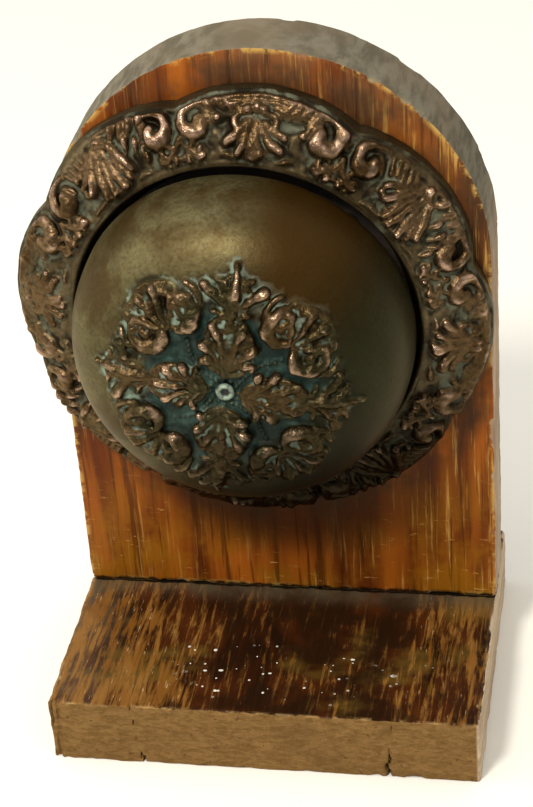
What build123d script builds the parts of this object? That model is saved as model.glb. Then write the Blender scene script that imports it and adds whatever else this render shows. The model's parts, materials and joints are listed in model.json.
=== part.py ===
"""A mechanical door bell on a small wooden display stand.

Frame: +X right, +Y to the back, +Z up. The origin is the centre of the base's underside. Lengths are in
millimetres. The bell's axis is level and runs front to back. A distance "out" is measured from the board's
front face towards the front, so what lies behind that face has a negative one.
"""

from build123d import *
import os
from math import acos, cos, pi, radians, sin, sqrt, tan

# Stand: a plank that lies flat and a board with an arched top that stands on it.
stand_width = 118.0
base_depth = 90.0
base_thickness = 19.5
board_thickness = 19.0
board_setback = 56.5  # from the plank's front edge to the board's front face
spring_height = 130.0  # where the board's straight sides end and its arch begins
arch_rise = 57.5
worn_edge = 0.8  # radius of the worn corners

# Bell axis, from the middle of the stand and below the arch's spring line.
bell_offset_x = -4.4
bell_drop = 15.6

# Gong: a full-shouldered dome. Its rim stands just in front of the plate's lip.
gong_radius = 44.8
gong_height = 31.0
gong_wall = 1.5
rim_gap = 0.8  # from the lip's front to the gong's rim
dome_power = 2.9  # 2 is an ellipse, more is squarer
gong_hole_gap = 0.3  # round the gong's screw

# Ornate plate: a cast ring that rises from its scalloped edge to a lip, with a flat floor inside.
lip_gap = 1.4  # from the gong's edge to the lip, seen from the front
band_width = 17.8  # from the lip's inner edge to the outline's widest places
notch_depth = 3.0  # how far the outline pulls in between two panels
panel_count = 8
panel_turn = -7.5  # degrees, the pattern's turn from upright
skirt_height = 3.6
lip_height = 12.8
lip_width = 1.2
plate_wall = 2.2
floor_thickness = 2.0
floor_ledge = 7.5  # from the screws' circle in to the floor's opening

# Movement base, inside the plate.
disc_gap = 3.6  # from the disc to the plate's wall
disc_thickness = 2.5
fixing_margin = 5.1  # from the disc's edge to the circle on which both kinds of screw stand
wood_screw_angles = (45, 135, -55, -125)
machine_screw_angles = (0, 90, 180)

# Gears. Their module follows from the space: the drive gear's tips stay inside the disc's edge.
gear_margin = 2.55
drive_teeth = 45
pinion_teeth = 15
pressure_angle = 20.0
backlash = 0.10  # taken off each tooth's thickness
gear_face = 3.0
pinion_face = 4.0
gear_lift = 2.0  # from the movement base to the drive gear's teeth
gear_hub_wall = 3.0
spoke_hole_share = 0.19  # of the drive gear's pitch radius

# Spindle and its bridge.
spindle_radius = 3.0
running_gap = 0.05  # radial gap of a turning fit
board_bore_gap = 1.5
bridge_thickness = 2.0
bridge_wall = 1.45  # beside the spindle's bore
pillar_radius = 2.5
pillar_margin = 1.5  # from the drive gear's teeth to a pillar
end_gap = 0.5  # end play of turning pieces

# Gong post and the striker that turns on it.
post_radius = 3.0
post_foot_width = 3.5
post_foot_height = 1.3
collar_width = 2.5
collar_height = 3.0
spigot_wall = 1.15
pinion_shoulder = 2.1  # from the spigot out to the hub
carrier_collar = 0.7  # how far the carrier's middle stands out beyond the hub
carrier_thickness = 2.0
carrier_width = 8.0
pivot_distance = 22.0
pivot_radius = 1.5
rivet_radius = 1.3
rivet_head_radius = 2.6
rivet_head_height = 1.0
hammer_thickness = 2.2
hammer_arm_width = 3.0
hammer_eye_radius = 3.2
hammer_head_radius = 3.5
hammer_head_length = 6.0
side_gap = 0.3  # between pieces that pass each other
strike_gap = 0.7  # from a hammer at full reach to the gong

# Fastenings.
thread_gap = 0.1
washer_radius = 6.0
washer_thickness = 1.0
gong_screw_radius = 1.5
gong_screw_length = 12.0
gong_screw_head = 2.4
gong_screw_head_height = 1.3
wood_screw_radius = 1.6
wood_screw_length = 14.0  # below the head
wood_screw_head = 3.4
machine_screw_radius = 1.2
machine_screw_head = 2.4
pan_head_height = 1.9
base_screw_radius = 2.1
base_screw_length = 40.0
base_screw_head = 4.2
base_screw_head_height = 2.6
base_screw_sink = 0.4
base_screw_spacing = 70.0

# Turn key and its rosette, on the back.
rosette_edge = 2.4
rosette_height = 4.2
rosette_hub_wall = 5.45
rosette_hub_flare = 1.0  # how much wider the hub is at its foot
rosette_head_gap = 0.5  # from the hub's foot to a screw's head
rosette_screw_margin = 3.8  # from a screw's middle to the rosette's edge
rosette_screw_radius = 1.3
rosette_screw_head = 2.2
rosette_screw_length = 10.0
key_gap = 0.4
key_boss_wall = 3.0
key_boss_length = 11.0
key_grip = 7.5  # depth of the spindle in the boss
key_wing_width = 30.0
key_wing_height = 18.0
key_wing_thickness = 4.6
key_wing_overlap = 4.0
key_pin_radius = 1.0

# Worked out from the sizes above.
board_face = -base_depth / 2 + board_setback
bell_x = bell_offset_x
bell_z = spring_height - bell_drop
lip_radius = gong_radius + lip_gap
plate_radius = lip_radius + band_width
gong_rim = lip_height + rim_gap
disc_radius = lip_radius - disc_gap
fixing_radius = disc_radius - fixing_margin
floor_opening = fixing_radius - floor_ledge
tip_share, root_share = 0.9, 1.2  # a tooth's height above and below the pitch circle, in modules
gear_module = (disc_radius - gear_margin) / (drive_teeth + pinion_teeth / 2 + tip_share)
gear_pitch_radius = gear_module * drive_teeth / 2
pinion_pitch_radius = gear_module * pinion_teeth / 2
spindle_drop = gear_pitch_radius + pinion_pitch_radius
disc_back = floor_thickness
disc_front = disc_back + disc_thickness
gear_back = disc_front + gear_lift
gear_front = gear_back + gear_face
pinion_back = disc_front + post_foot_height + side_gap
pinion_front = max(pinion_back + pinion_face, gear_front)
bridge_back = gear_front + end_gap + 1.0
bridge_front = bridge_back + bridge_thickness
bridge_head_front = bridge_front + pan_head_height
gear_hub_radius = spindle_radius + gear_hub_wall
bridge_width = 2 * (spindle_radius + running_gap + bridge_wall)
key_boss_radius = spindle_radius + key_boss_wall
rosette_hub_radius = spindle_radius + running_gap + rosette_hub_wall
rosette_screw_distance = rosette_hub_radius + rosette_hub_flare + rosette_head_gap + rosette_screw_head
rosette_radius = rosette_screw_distance + rosette_screw_margin
spigot_radius = post_radius + running_gap + spigot_wall
pinion_hub_radius = spigot_radius + pinion_shoulder
carrier_back = bridge_head_front + side_gap
carrier_front = carrier_back + carrier_thickness
hammer_back = carrier_front + side_gap
hammer_front = hammer_back + hammer_thickness
hammer_head_front = hammer_back + hammer_head_length
pillar_spread = gear_pitch_radius + gear_module + pillar_margin + pillar_radius


def dome_height(radius, full_radius, full_height):
    """How far a dome stands out from its rim at a radius."""
    return full_height * (1 - (radius / full_radius) ** dome_power) ** (1 / dome_power)


def dome_width(height, full_radius, full_height):
    """The dome's radius at a height above its rim."""
    return full_radius * (1 - (height / full_height) ** dome_power) ** (1 / dome_power)


inner_radius = gong_radius - gong_wall
inner_height = gong_height - gong_wall
gong_front = gong_rim + gong_height
washer_front = gong_rim + dome_height(washer_radius, inner_radius, inner_height)
post_front = washer_front - washer_thickness
hammer_reach = dome_width(hammer_head_front - gong_rim, inner_radius, inner_height) - strike_gap
hammer_length = hammer_reach - hammer_head_radius - pivot_distance


def facing(out=0.0, z=0.0):
    """A plane parallel to the board's face, with its origin on the bell's axis or z above it."""
    return Plane(origin=(bell_x, board_face - out, bell_z + z), x_dir=(1, 0, 0), z_dir=(0, -1, 0))


def half_section(z=0.0):
    """The plane for profiles turned about the bell's axis: x is the radius and y the distance out."""
    return Plane(origin=(bell_x, board_face, bell_z + z), x_dir=(1, 0, 0), z_dir=(0, 0, -1))


def turned(profile, z=0.0):
    """A profile turned about the bell's axis, or about an axis z from it."""
    return revolve(half_section(z) * profile, axis=Axis((bell_x, board_face, bell_z + z), (0, -1, 0)))


def rod(radius, start, end, x=0.0, z=0.0):
    """A round bar along the bell's axis between two distances out, x and z from the axis."""
    middle = board_face - (start + end) / 2
    return Pos(bell_x + x, middle, bell_z + z) * Cylinder(radius, end - start, rotation=(90, 0, 0))


def on_circle(radius, angle):
    """A point on a circle round the bell's axis, as (x, z)."""
    return radius * cos(radians(angle)), radius * sin(radians(angle))


def screw(shank_radius, length, head_radius, head_height, seat, x, z, forward=1):
    """A pan-head screw with its head's underside at seat. It points out if forward is 1, and in if it is -1."""
    tip, top = seat - forward * length, seat + forward * head_height
    shank = rod(shank_radius, min(tip, seat), max(tip, seat), x, z)
    head = rod(head_radius, min(seat, top), max(seat, top), x, z)
    slot_middle = board_face - top
    slot = Pos(bell_x + x, slot_middle, bell_z + z) * Box(
        2 * head_radius, head_height * 0.8, head_radius * 0.3
    )
    crown = head.edges().filter_by(GeomType.CIRCLE).sort_by(Axis.Y)
    head = fillet(crown[0] if forward > 0 else crown[-1], head_height * 0.45)
    return shank + (head - slot)


def gear_outline(teeth, tooth_angle):
    """A spur gear's outline, with one tooth's middle at tooth_angle degrees. Flanks are involutes."""
    pitch = gear_module * teeth / 2
    base = pitch * cos(radians(pressure_angle))
    tip, root = pitch + tip_share * gear_module, pitch - root_share * gear_module
    involute_at_pitch = tan(radians(pressure_angle)) - radians(pressure_angle)
    half_thickness = pi / (2 * teeth) - backlash / (2 * pitch)
    start = max(base, root)
    flank = []
    for step in range(4):
        radius = start + (tip - start) * step / 3
        pressure = acos(base / radius)
        flank.append((radius, half_thickness + involute_at_pitch - (tan(pressure) - pressure)))
    if root < base:
        flank.insert(0, (root, flank[0][1]))
    points = []
    for tooth in range(teeth):
        middle = radians(tooth_angle) + 2 * pi * tooth / teeth
        rising = [(r, middle - a) for r, a in flank]
        falling = [(r, middle + a) for r, a in reversed(flank)]
        points += [(r * cos(a), r * sin(a)) for r, a in rising + falling]
    return make_face(Polyline(points, close=True))


def make_base_plank():
    """The plank, with countersunk holes from below for the two screws that hold the board."""
    plank = Pos(0, 0, base_thickness / 2) * Box(stand_width, base_depth, base_thickness)
    plank = fillet(plank.edges().group_by(Axis.Z)[-1], worn_edge)
    for x in (-base_screw_spacing / 2, base_screw_spacing / 2):
        plank -= base_screw_shape(x, thread_gap)
    return plank


def base_screw_shape(x, gap):
    """A countersunk screw driven up through the plank, or the hole for it if gap is more than nothing."""
    y = board_face + board_thickness / 2
    head_top = base_screw_sink + base_screw_head_height
    shank_top = base_screw_sink + base_screw_length
    shank_length = shank_top - head_top + gap
    shank = Pos(x, y, (head_top + shank_top) / 2) * Cylinder(base_screw_radius + gap, shank_length)
    head = Pos(x, y, base_screw_sink + base_screw_head_height / 2) * Cone(
        base_screw_head + gap, base_screw_radius + gap, base_screw_head_height
    )
    shape = shank + head
    if gap:
        shape += Pos(x, y, base_screw_sink / 2) * Cylinder(base_screw_head + gap, base_screw_sink)
    return shape


def make_base_screws():
    """Two countersunk wood screws, slotted below."""
    y = board_face + board_thickness / 2
    screws = []
    for x in (-base_screw_spacing / 2, base_screw_spacing / 2):
        slot = Pos(x, y, base_screw_sink) * Box(2 * base_screw_head, 1.2, 1.4)
        screws.append(base_screw_shape(x, 0.0) - slot)
    return Compound(children=screws)


def make_upright_board():
    """The arched board, bored for the spindle and for every screw that enters it."""
    half = stand_width / 2
    outline = make_face(
        [
            Line((-half, base_thickness), (half, base_thickness)),
            Line((half, base_thickness), (half, spring_height)),
            ThreePointArc((half, spring_height), (0, spring_height + arch_rise), (-half, spring_height)),
            Line((-half, spring_height), (-half, base_thickness)),
        ]
    )
    face = Plane(origin=(0, board_face, 0), x_dir=(1, 0, 0), z_dir=(0, -1, 0))
    board = extrude(face * outline, amount=-board_thickness)
    board = chamfer(board.edges().group_by(Axis.Y)[0], worn_edge * 0.5)
    board -= rod(spindle_radius + board_bore_gap, -board_thickness - 1, 1, 0, -spindle_drop)
    depth = disc_front - wood_screw_length - thread_gap
    for angle in wood_screw_angles:
        x, z = on_circle(fixing_radius, angle)
        board -= rod(wood_screw_radius + thread_gap, depth, 1, x, z)
    rosette_screw_tip = rosette_screw_length + thread_gap - rosette_edge - board_thickness
    for x in (-rosette_screw_distance, rosette_screw_distance):
        pilot_radius = rosette_screw_radius + thread_gap
        board -= rod(pilot_radius, -board_thickness - 1, rosette_screw_tip, x, -spindle_drop)
    for x in (-base_screw_spacing / 2, base_screw_spacing / 2):
        board -= base_screw_shape(x, thread_gap)
    return board


def scalloped_outline():
    """The plate's outline: one arc for each panel, meeting its neighbours in notches."""
    width = 360 / panel_count
    arcs = []
    for panel in range(panel_count):
        middle = panel_turn + panel * width
        ends = [on_circle(plate_radius - notch_depth, middle + side * width / 2) for side in (-1, 1)]
        arcs.append(ThreePointArc(ends[0], on_circle(plate_radius, middle), ends[1]))
    return make_face(arcs)


def fixings():
    """The shank radius and the angle of every screw through the movement base and the plate's floor."""
    wood = [(wood_screw_radius, angle) for angle in wood_screw_angles]
    machine = [(machine_screw_radius, angle) for angle in machine_screw_angles]
    return wood + machine


def make_ornate_plate():
    """The cast ring: hollow behind its rising band, with a floor that the movement base sits on."""
    hollow_radius = plate_radius - notch_depth - plate_wall
    slope = (lip_height - skirt_height) / (plate_radius - lip_radius - lip_width)
    roof_outer = lip_height - slope * (hollow_radius - lip_radius - lip_width) - plate_wall * 1.3
    roof_inner = lip_height - plate_wall * 1.6
    band_middle = (plate_radius + lip_radius + lip_width) / 2, (skirt_height + lip_height) / 2 + 1.2
    profile = make_face(
        [
            Line((floor_opening, 0), (lip_radius + plate_wall, 0)),
            Line((lip_radius + plate_wall, 0), (lip_radius + plate_wall, roof_inner)),
            Line((lip_radius + plate_wall, roof_inner), (hollow_radius, roof_outer)),
            Line((hollow_radius, roof_outer), (hollow_radius, 0)),
            Line((hollow_radius, 0), (plate_radius, 0)),
            Line((plate_radius, 0), (plate_radius, skirt_height)),
            ThreePointArc((plate_radius, skirt_height), band_middle, (lip_radius + lip_width, lip_height)),
            Line((lip_radius + lip_width, lip_height), (lip_radius, lip_height)),
            Line((lip_radius, lip_height), (lip_radius, floor_thickness)),
            Line((lip_radius, floor_thickness), (floor_opening, floor_thickness)),
            Line((floor_opening, floor_thickness), (floor_opening, 0)),
        ]
    )
    outline = extrude(facing() * scalloped_outline(), amount=lip_height + 1)
    plate = turned(profile) & outline
    for radius, angle in fixings():
        plate -= rod(radius + thread_gap, -1, floor_thickness + 1, *on_circle(fixing_radius, angle))
    return plate


def make_plate_screws():
    """Wood screws through the movement base and the plate into the board."""
    places = [on_circle(fixing_radius, angle) for angle in wood_screw_angles]
    sizes = wood_screw_radius, wood_screw_length, wood_screw_head, pan_head_height
    return Compound(children=[screw(*sizes, disc_front, x, z) for x, z in places])


def make_movement_base():
    """The iron disc that carries the movement, seated on the plate's floor."""
    disc = rod(disc_radius, disc_back, disc_front)
    disc -= rod(post_radius, disc_back - 1, disc_front + 1)
    disc -= rod(spindle_radius + running_gap, disc_back - 1, disc_front + 1, 0, -spindle_drop)
    for radius, angle in fixings():
        disc -= rod(radius + thread_gap, disc_back - 1, disc_front + 1, *on_circle(fixing_radius, angle))
    return disc


def make_movement_screws():
    """Machine screws that hold the movement base to the plate."""
    places = [on_circle(fixing_radius, angle) for angle in machine_screw_angles]
    length = disc_thickness + floor_thickness
    sizes = machine_screw_radius, length, machine_screw_head, pan_head_height
    return Compound(children=[screw(*sizes, disc_front, x, z) for x, z in places])


def make_bridge_pillars():
    """Two posts, one each side of the drive gear, tapped for the bridge's screws."""
    pillars = []
    for x in (-pillar_spread, pillar_spread):
        pillar = rod(pillar_radius, disc_front, bridge_back, x, -spindle_drop)
        hole = rod(machine_screw_radius + thread_gap, disc_front + 0.5, bridge_back + 1, x, -spindle_drop)
        pillars.append(pillar - hole)
    return Compound(children=pillars)


def make_spindle_bridge():
    """The strap that carries the spindle's front end."""
    strap = extrude(
        facing(bridge_back, -spindle_drop) * SlotCenterToCenter(2 * pillar_spread, bridge_width),
        amount=bridge_thickness,
    )
    strap -= rod(spindle_radius + running_gap, bridge_back - 1, bridge_front + 1, 0, -spindle_drop)
    for x in (-pillar_spread, pillar_spread):
        hole = machine_screw_radius + thread_gap
        strap -= rod(hole, bridge_back - 1, bridge_front + 1, x, -spindle_drop)
    return strap


def make_bridge_screws():
    """The bridge's two screws."""
    length = bridge_front - disc_front - 1.0
    sizes = machine_screw_radius, length, machine_screw_head, pan_head_height
    places = (-pillar_spread, pillar_spread)
    return Compound(children=[screw(*sizes, bridge_front, x, -spindle_drop) for x in places])


def make_gong_post():
    """The fixed post: riveted in the movement base, it carries the striker and, at its top, the gong."""
    post = rod(post_radius, disc_back, post_front)
    post += rod(post_radius + post_foot_width, disc_front, disc_front + post_foot_height)
    hole_depth = gong_screw_length - gong_wall - washer_thickness + 0.5
    post -= rod(gong_screw_radius + thread_gap, post_front - hole_depth, post_front + 1)
    return post


def make_post_collar():
    """The collar that keeps the striker on the post."""
    back = carrier_front + side_gap
    front = back + collar_height
    return rod(post_radius + collar_width, back, front) - rod(post_radius, back - 1, front + 1)


def make_gong_washer():
    """The leather washer between post and gong."""
    washer = rod(washer_radius, post_front, washer_front)
    return washer - rod(gong_screw_radius + thread_gap, post_front - 1, washer_front + 1)


def dome_curve(radius, height):
    """A dome's section from its rim to the axis, as one smooth curve."""
    count = 12
    points = []
    for step in range(count + 1):
        angle = pi / 2 * step / count
        share = cos(angle) ** (2 / dome_power), sin(angle) ** (2 / dome_power)
        points.append((radius * share[0] if step < count else 0.0, gong_rim + height * share[1]))
    return Spline(points, tangents=((0, 1), (-1, 0)))


def make_gong():
    """The bronze gong, open behind, with a hole at its crown."""
    outer = dome_curve(gong_radius, gong_height)
    inner = dome_curve(inner_radius, inner_height)
    profile = make_face(
        [
            outer,
            Line((0, gong_rim + gong_height), (0, gong_rim + inner_height)),
            inner,
            Line((inner_radius, gong_rim), (gong_radius, gong_rim)),
        ]
    )
    return turned(profile) - rod(gong_screw_radius + gong_hole_gap, gong_rim, gong_front + 1)


def make_gong_screw():
    """The screw at the crown, with a small round head."""
    shank = rod(gong_screw_radius, gong_front - gong_screw_length, gong_front)
    head = rod(gong_screw_head, gong_front, gong_front + gong_screw_head_height)
    head = fillet(head.edges().filter_by(GeomType.CIRCLE).sort_by(Axis.Y)[0], gong_screw_head_height * 0.6)
    return shank + head


def make_key_rosette():
    """The turned cover on the back, with the spindle's rear bearing."""
    back = board_thickness
    edge, full = back + rosette_edge, back + rosette_height
    profile = make_face(
        Polyline(
            (spindle_radius + running_gap, -back),
            (rosette_radius, -back),
            (rosette_radius, -edge + 0.8),
            (rosette_radius - 0.8, -edge),
            (rosette_hub_radius + rosette_hub_flare, -edge),
            (rosette_hub_radius, -full),
            (spindle_radius + running_gap, -full),
            close=True,
        )
    )
    rosette = turned(profile, -spindle_drop)
    for x in (-rosette_screw_distance, rosette_screw_distance):
        rosette -= rod(rosette_screw_radius + thread_gap, -edge - 1, -back + 1, x, -spindle_drop)
    return rosette


def make_rosette_screws():
    """Two small screws that hold the rosette."""
    seat = -board_thickness - rosette_edge
    sizes = rosette_screw_radius, rosette_screw_length, rosette_screw_head, pan_head_height * 0.7
    places = (-rosette_screw_distance, rosette_screw_distance)
    return Compound(children=[screw(*sizes, seat, x, -spindle_drop, -1) for x in places])


key_back = -board_thickness - rosette_height - key_gap
key_pin_out = key_back - key_grip / 2


def make_spindle():
    """The steel spindle, from the key through the board to the bridge."""
    spindle = rod(spindle_radius, key_back - key_grip, bridge_front, 0, -spindle_drop)
    return spindle - key_cross_hole()


def key_cross_hole():
    """The hole through boss and spindle for the key's pin."""
    place = Pos(bell_x, board_face - key_pin_out, bell_z - spindle_drop)
    return place * Cylinder(key_pin_radius, 4 * key_boss_radius, rotation=(0, 90, 0))


def make_key_pin():
    """The pin that locks the key on the spindle."""
    place = Pos(bell_x, board_face - key_pin_out, bell_z - spindle_drop)
    return place * Cylinder(key_pin_radius, 2 * key_boss_radius + 0.6, rotation=(0, 90, 0))


def make_turn_key():
    """The key: a boss with an oval wing for finger and thumb."""
    boss = rod(key_boss_radius, key_back - key_boss_length, key_back, 0, -spindle_drop)
    wing_out = key_back - key_boss_length + key_wing_overlap - key_wing_height / 2
    level = Plane(
        origin=(bell_x, board_face - wing_out, bell_z - spindle_drop - key_wing_thickness / 2),
        x_dir=(1, 0, 0),
        z_dir=(0, 0, 1),
    )
    wing = extrude(level * Ellipse(key_wing_width / 2, key_wing_height / 2), amount=key_wing_thickness)
    wing = fillet(wing.edges().filter_by(GeomType.ELLIPSE), key_wing_thickness * 0.3)
    socket = rod(spindle_radius, key_back - key_grip, key_back + 1, 0, -spindle_drop)
    return boss + wing - socket - key_cross_hole()


def make_drive_gear():
    """The large gear on the spindle, with a hub and four holes."""
    gear = extrude(facing(gear_back, -spindle_drop) * gear_outline(drive_teeth, 90), amount=gear_face)
    gear += rod(gear_hub_radius, disc_front + end_gap, bridge_back - end_gap, 0, -spindle_drop)
    for corner in range(4):
        x, z = on_circle(gear_pitch_radius * 0.6, 45 + 90 * corner)
        gear -= rod(gear_pitch_radius * spoke_hole_share, gear_back - 1, gear_front + 1, x, z - spindle_drop)
    return gear - rod(spindle_radius, disc_front, bridge_back, 0, -spindle_drop)


def make_striker_pinion():
    """The pinion that turns on the post, with a hub and a spigot for the carrier."""
    half_pitch = 180 / pinion_teeth
    pinion = extrude(
        facing(pinion_back) * gear_outline(pinion_teeth, -90 + half_pitch), amount=pinion_front - pinion_back
    )
    pinion += rod(pinion_hub_radius, bridge_back, carrier_back)
    pinion += rod(pinion_pitch_radius - root_share * gear_module, pinion_front, bridge_back)
    pinion += rod(spigot_radius, carrier_back, carrier_front)
    return pinion - rod(post_radius + running_gap, pinion_back - 1, carrier_front + 1)


def make_hammer_carrier():
    """The two-armed carrier riveted to the pinion."""
    outline = SlotCenterToCenter(2 * pivot_distance, carrier_width)
    arm = extrude(facing(carrier_back) * outline, amount=carrier_thickness)
    arm += rod(pinion_hub_radius + carrier_collar, carrier_back, carrier_front)
    arm -= rod(spigot_radius, carrier_back - 1, carrier_front + 1)
    for x in (-pivot_distance, pivot_distance):
        arm -= rod(rivet_radius, carrier_back - 1, carrier_front + 1, x)
    return arm


def make_hammer_pins():
    """The shouldered rivets on which the hammers swing."""
    pins = []
    for x in (-pivot_distance, pivot_distance):
        shoulder = hammer_front + side_gap
        pin = rod(rivet_radius, carrier_back, carrier_front, x)
        pin += rod(pivot_radius, carrier_front, shoulder, x)
        pin += rod(rivet_head_radius, shoulder, shoulder + rivet_head_height, x)
        pins.append(pin)
    return Compound(children=pins)


def make_hammer(x):
    """A loose hammer hanging straight down from its rivet at x."""
    arm_plane = facing(hammer_back, -hammer_length / 2)
    arm = extrude(arm_plane * Pos(x, 0) * Rectangle(hammer_arm_width, hammer_length), amount=hammer_thickness)
    arm += rod(hammer_eye_radius, hammer_back, hammer_front, x)
    head = rod(hammer_head_radius, hammer_back, hammer_head_front, x, -hammer_length)
    head = chamfer(head.edges().filter_by(GeomType.CIRCLE), 0.6)
    return arm + head - rod(pivot_radius + running_gap, hammer_back - 1, hammer_front + 1, x)


parts = {
    "base_plank": make_base_plank,
    "upright_board": make_upright_board,
    "base_screws": make_base_screws,
    "ornate_plate": make_ornate_plate,
    "plate_screws": make_plate_screws,
    "movement_base": make_movement_base,
    "movement_screws": make_movement_screws,
    "bridge_pillars": make_bridge_pillars,
    "spindle_bridge": make_spindle_bridge,
    "bridge_screws": make_bridge_screws,
    "gong_post": make_gong_post,
    "post_collar": make_post_collar,
    "gong_washer": make_gong_washer,
    "gong": make_gong,
    "gong_screw": make_gong_screw,
    "key_rosette": make_key_rosette,
    "rosette_screws": make_rosette_screws,
    "spindle": make_spindle,
    "drive_gear": make_drive_gear,
    "turn_key": make_turn_key,
    "key_pin": make_key_pin,
    "striker_pinion": make_striker_pinion,
    "hammer_carrier": make_hammer_carrier,
    "hammer_pins": make_hammer_pins,
    "right_hammer": lambda: make_hammer(pivot_distance),
    "left_hammer": lambda: make_hammer(-pivot_distance),
}

os.makedirs("parts", exist_ok=True)
for name, make in parts.items():
    export_step(make(), f"parts/{name}.step")
print(f"hammer length {hammer_length:.3f}, spindle height {bell_z - spindle_drop:.3f}")
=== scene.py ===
"""Looks for the mechanical door bell on its wooden stand.

Sizes are in metres in the row frame, apart from names that end in _mm, which are millimetres. The cast
ornament is drawn as strokes, in millimetres, on flat charts: one for each panel of the plate's ring and one
for the gong's crown. It is then lifted off the bronze along the surface.
"""

import json
import math

import bpy
import numpy as np
from mathutils import Matrix, Vector


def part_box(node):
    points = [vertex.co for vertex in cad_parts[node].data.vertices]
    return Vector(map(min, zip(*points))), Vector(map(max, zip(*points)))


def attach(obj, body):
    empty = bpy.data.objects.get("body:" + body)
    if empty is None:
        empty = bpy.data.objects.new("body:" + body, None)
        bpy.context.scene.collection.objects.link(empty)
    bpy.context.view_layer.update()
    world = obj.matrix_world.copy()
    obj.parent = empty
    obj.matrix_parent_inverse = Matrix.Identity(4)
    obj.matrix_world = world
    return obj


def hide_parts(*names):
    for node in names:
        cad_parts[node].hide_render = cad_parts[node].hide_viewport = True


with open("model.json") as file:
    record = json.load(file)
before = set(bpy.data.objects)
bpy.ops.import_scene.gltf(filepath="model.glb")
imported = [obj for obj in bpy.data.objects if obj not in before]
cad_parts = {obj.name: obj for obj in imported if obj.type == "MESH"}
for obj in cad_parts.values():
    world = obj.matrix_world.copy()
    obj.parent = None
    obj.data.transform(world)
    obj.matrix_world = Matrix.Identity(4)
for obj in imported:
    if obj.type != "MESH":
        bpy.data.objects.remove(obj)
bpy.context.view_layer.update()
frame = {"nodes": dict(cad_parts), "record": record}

MM = 0.001
rng = np.random.default_rng(7)

gong_low, gong_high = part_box("gong")
plate_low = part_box("ornate_plate")[0]
board_low, board_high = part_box("upright_board")
plank_low, plank_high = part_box("base_plank")
axis_x = (gong_low.x + gong_high.x) / 2
axis_z = (gong_low.z + gong_high.z) / 2
board_face = board_low.y


# ---------------------------------------------------------------- noise, steps and smooth lines

LATTICE = rng.random((32, 32, 32))


def noise(x, y, z):
    """Smooth random values from 0 to 1 that change over about one unit."""
    cells, blends = [], []
    for value in (x, y, z):
        value = np.asarray(value, float)
        floor = np.floor(value)
        part = value - floor
        cells.append(floor.astype(int))
        blends.append(part * part * (3 - 2 * part))
    total = 0.0
    for corner in range(8):
        steps = [(corner >> axis) & 1 for axis in range(3)]
        weight = 1.0
        for blend, step in zip(blends, steps):
            weight = weight * (blend if step else 1 - blend)
        index = [(cell + step) % 32 for cell, step in zip(cells, steps)]
        total = total + weight * LATTICE[index[0], index[1], index[2]]
    return total


def cloud(x, y, z=0.0, octaves=3):
    """Noise with finer noise on it, from about -1 to 1."""
    total, size = 0.0, 0.0
    for octave in range(octaves):
        scale = 2.03**octave
        total = total + (noise(x * scale, y * scale, z * scale + 7.3 * octave) * 2 - 1) / scale
        size += 1 / scale
    return total / size * 1.6


def smooth_step(low, high, value):
    """0 up to low, 1 from high, smooth between."""
    share = np.clip((value - low) / (high - low), 0, 1)
    return share * share * (3 - 2 * share)


def through(points, per_span=6):
    """A smooth line through points, whose further columns, such as a width, change smoothly with them."""
    points = np.asarray(points, float)
    padded = np.vstack([2 * points[0] - points[1], points, 2 * points[-1] - points[-2]])
    line = []
    for i in range(len(points) - 1):
        before, start, end, after = padded[i : i + 4]
        for t in np.arange(per_span) / per_span:
            bend = 2 * before - 5 * start + 4 * end - after
            twist = 3 * start - before - 3 * end + after
            line.append(start + 0.5 * ((end - before) * t + bend * t**2 + twist * t**3))
    line.append(points[-1])
    return np.array(line)


def blurred(grid, reach, wrap_columns=False):
    """A grid of values, smoothed over about reach cells each way."""
    offsets = np.arange(-2 * reach, 2 * reach + 1)
    weights = np.exp(-0.5 * (offsets / reach) ** 2)
    weights /= weights.sum()
    side = 2 * reach
    tall = np.pad(grid, ((side, side), (0, 0)), mode="edge")
    rows = sum(w * tall[side + o : side + o + grid.shape[0]] for o, w in zip(offsets, weights))
    wide = np.pad(rows, ((0, 0), (side, side)), mode="wrap" if wrap_columns else "edge")
    return sum(w * wide[:, side + o : side + o + grid.shape[1]] for o, w in zip(offsets, weights))


# ---------------------------------------------------------------- relief: strokes on a flat chart


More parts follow.
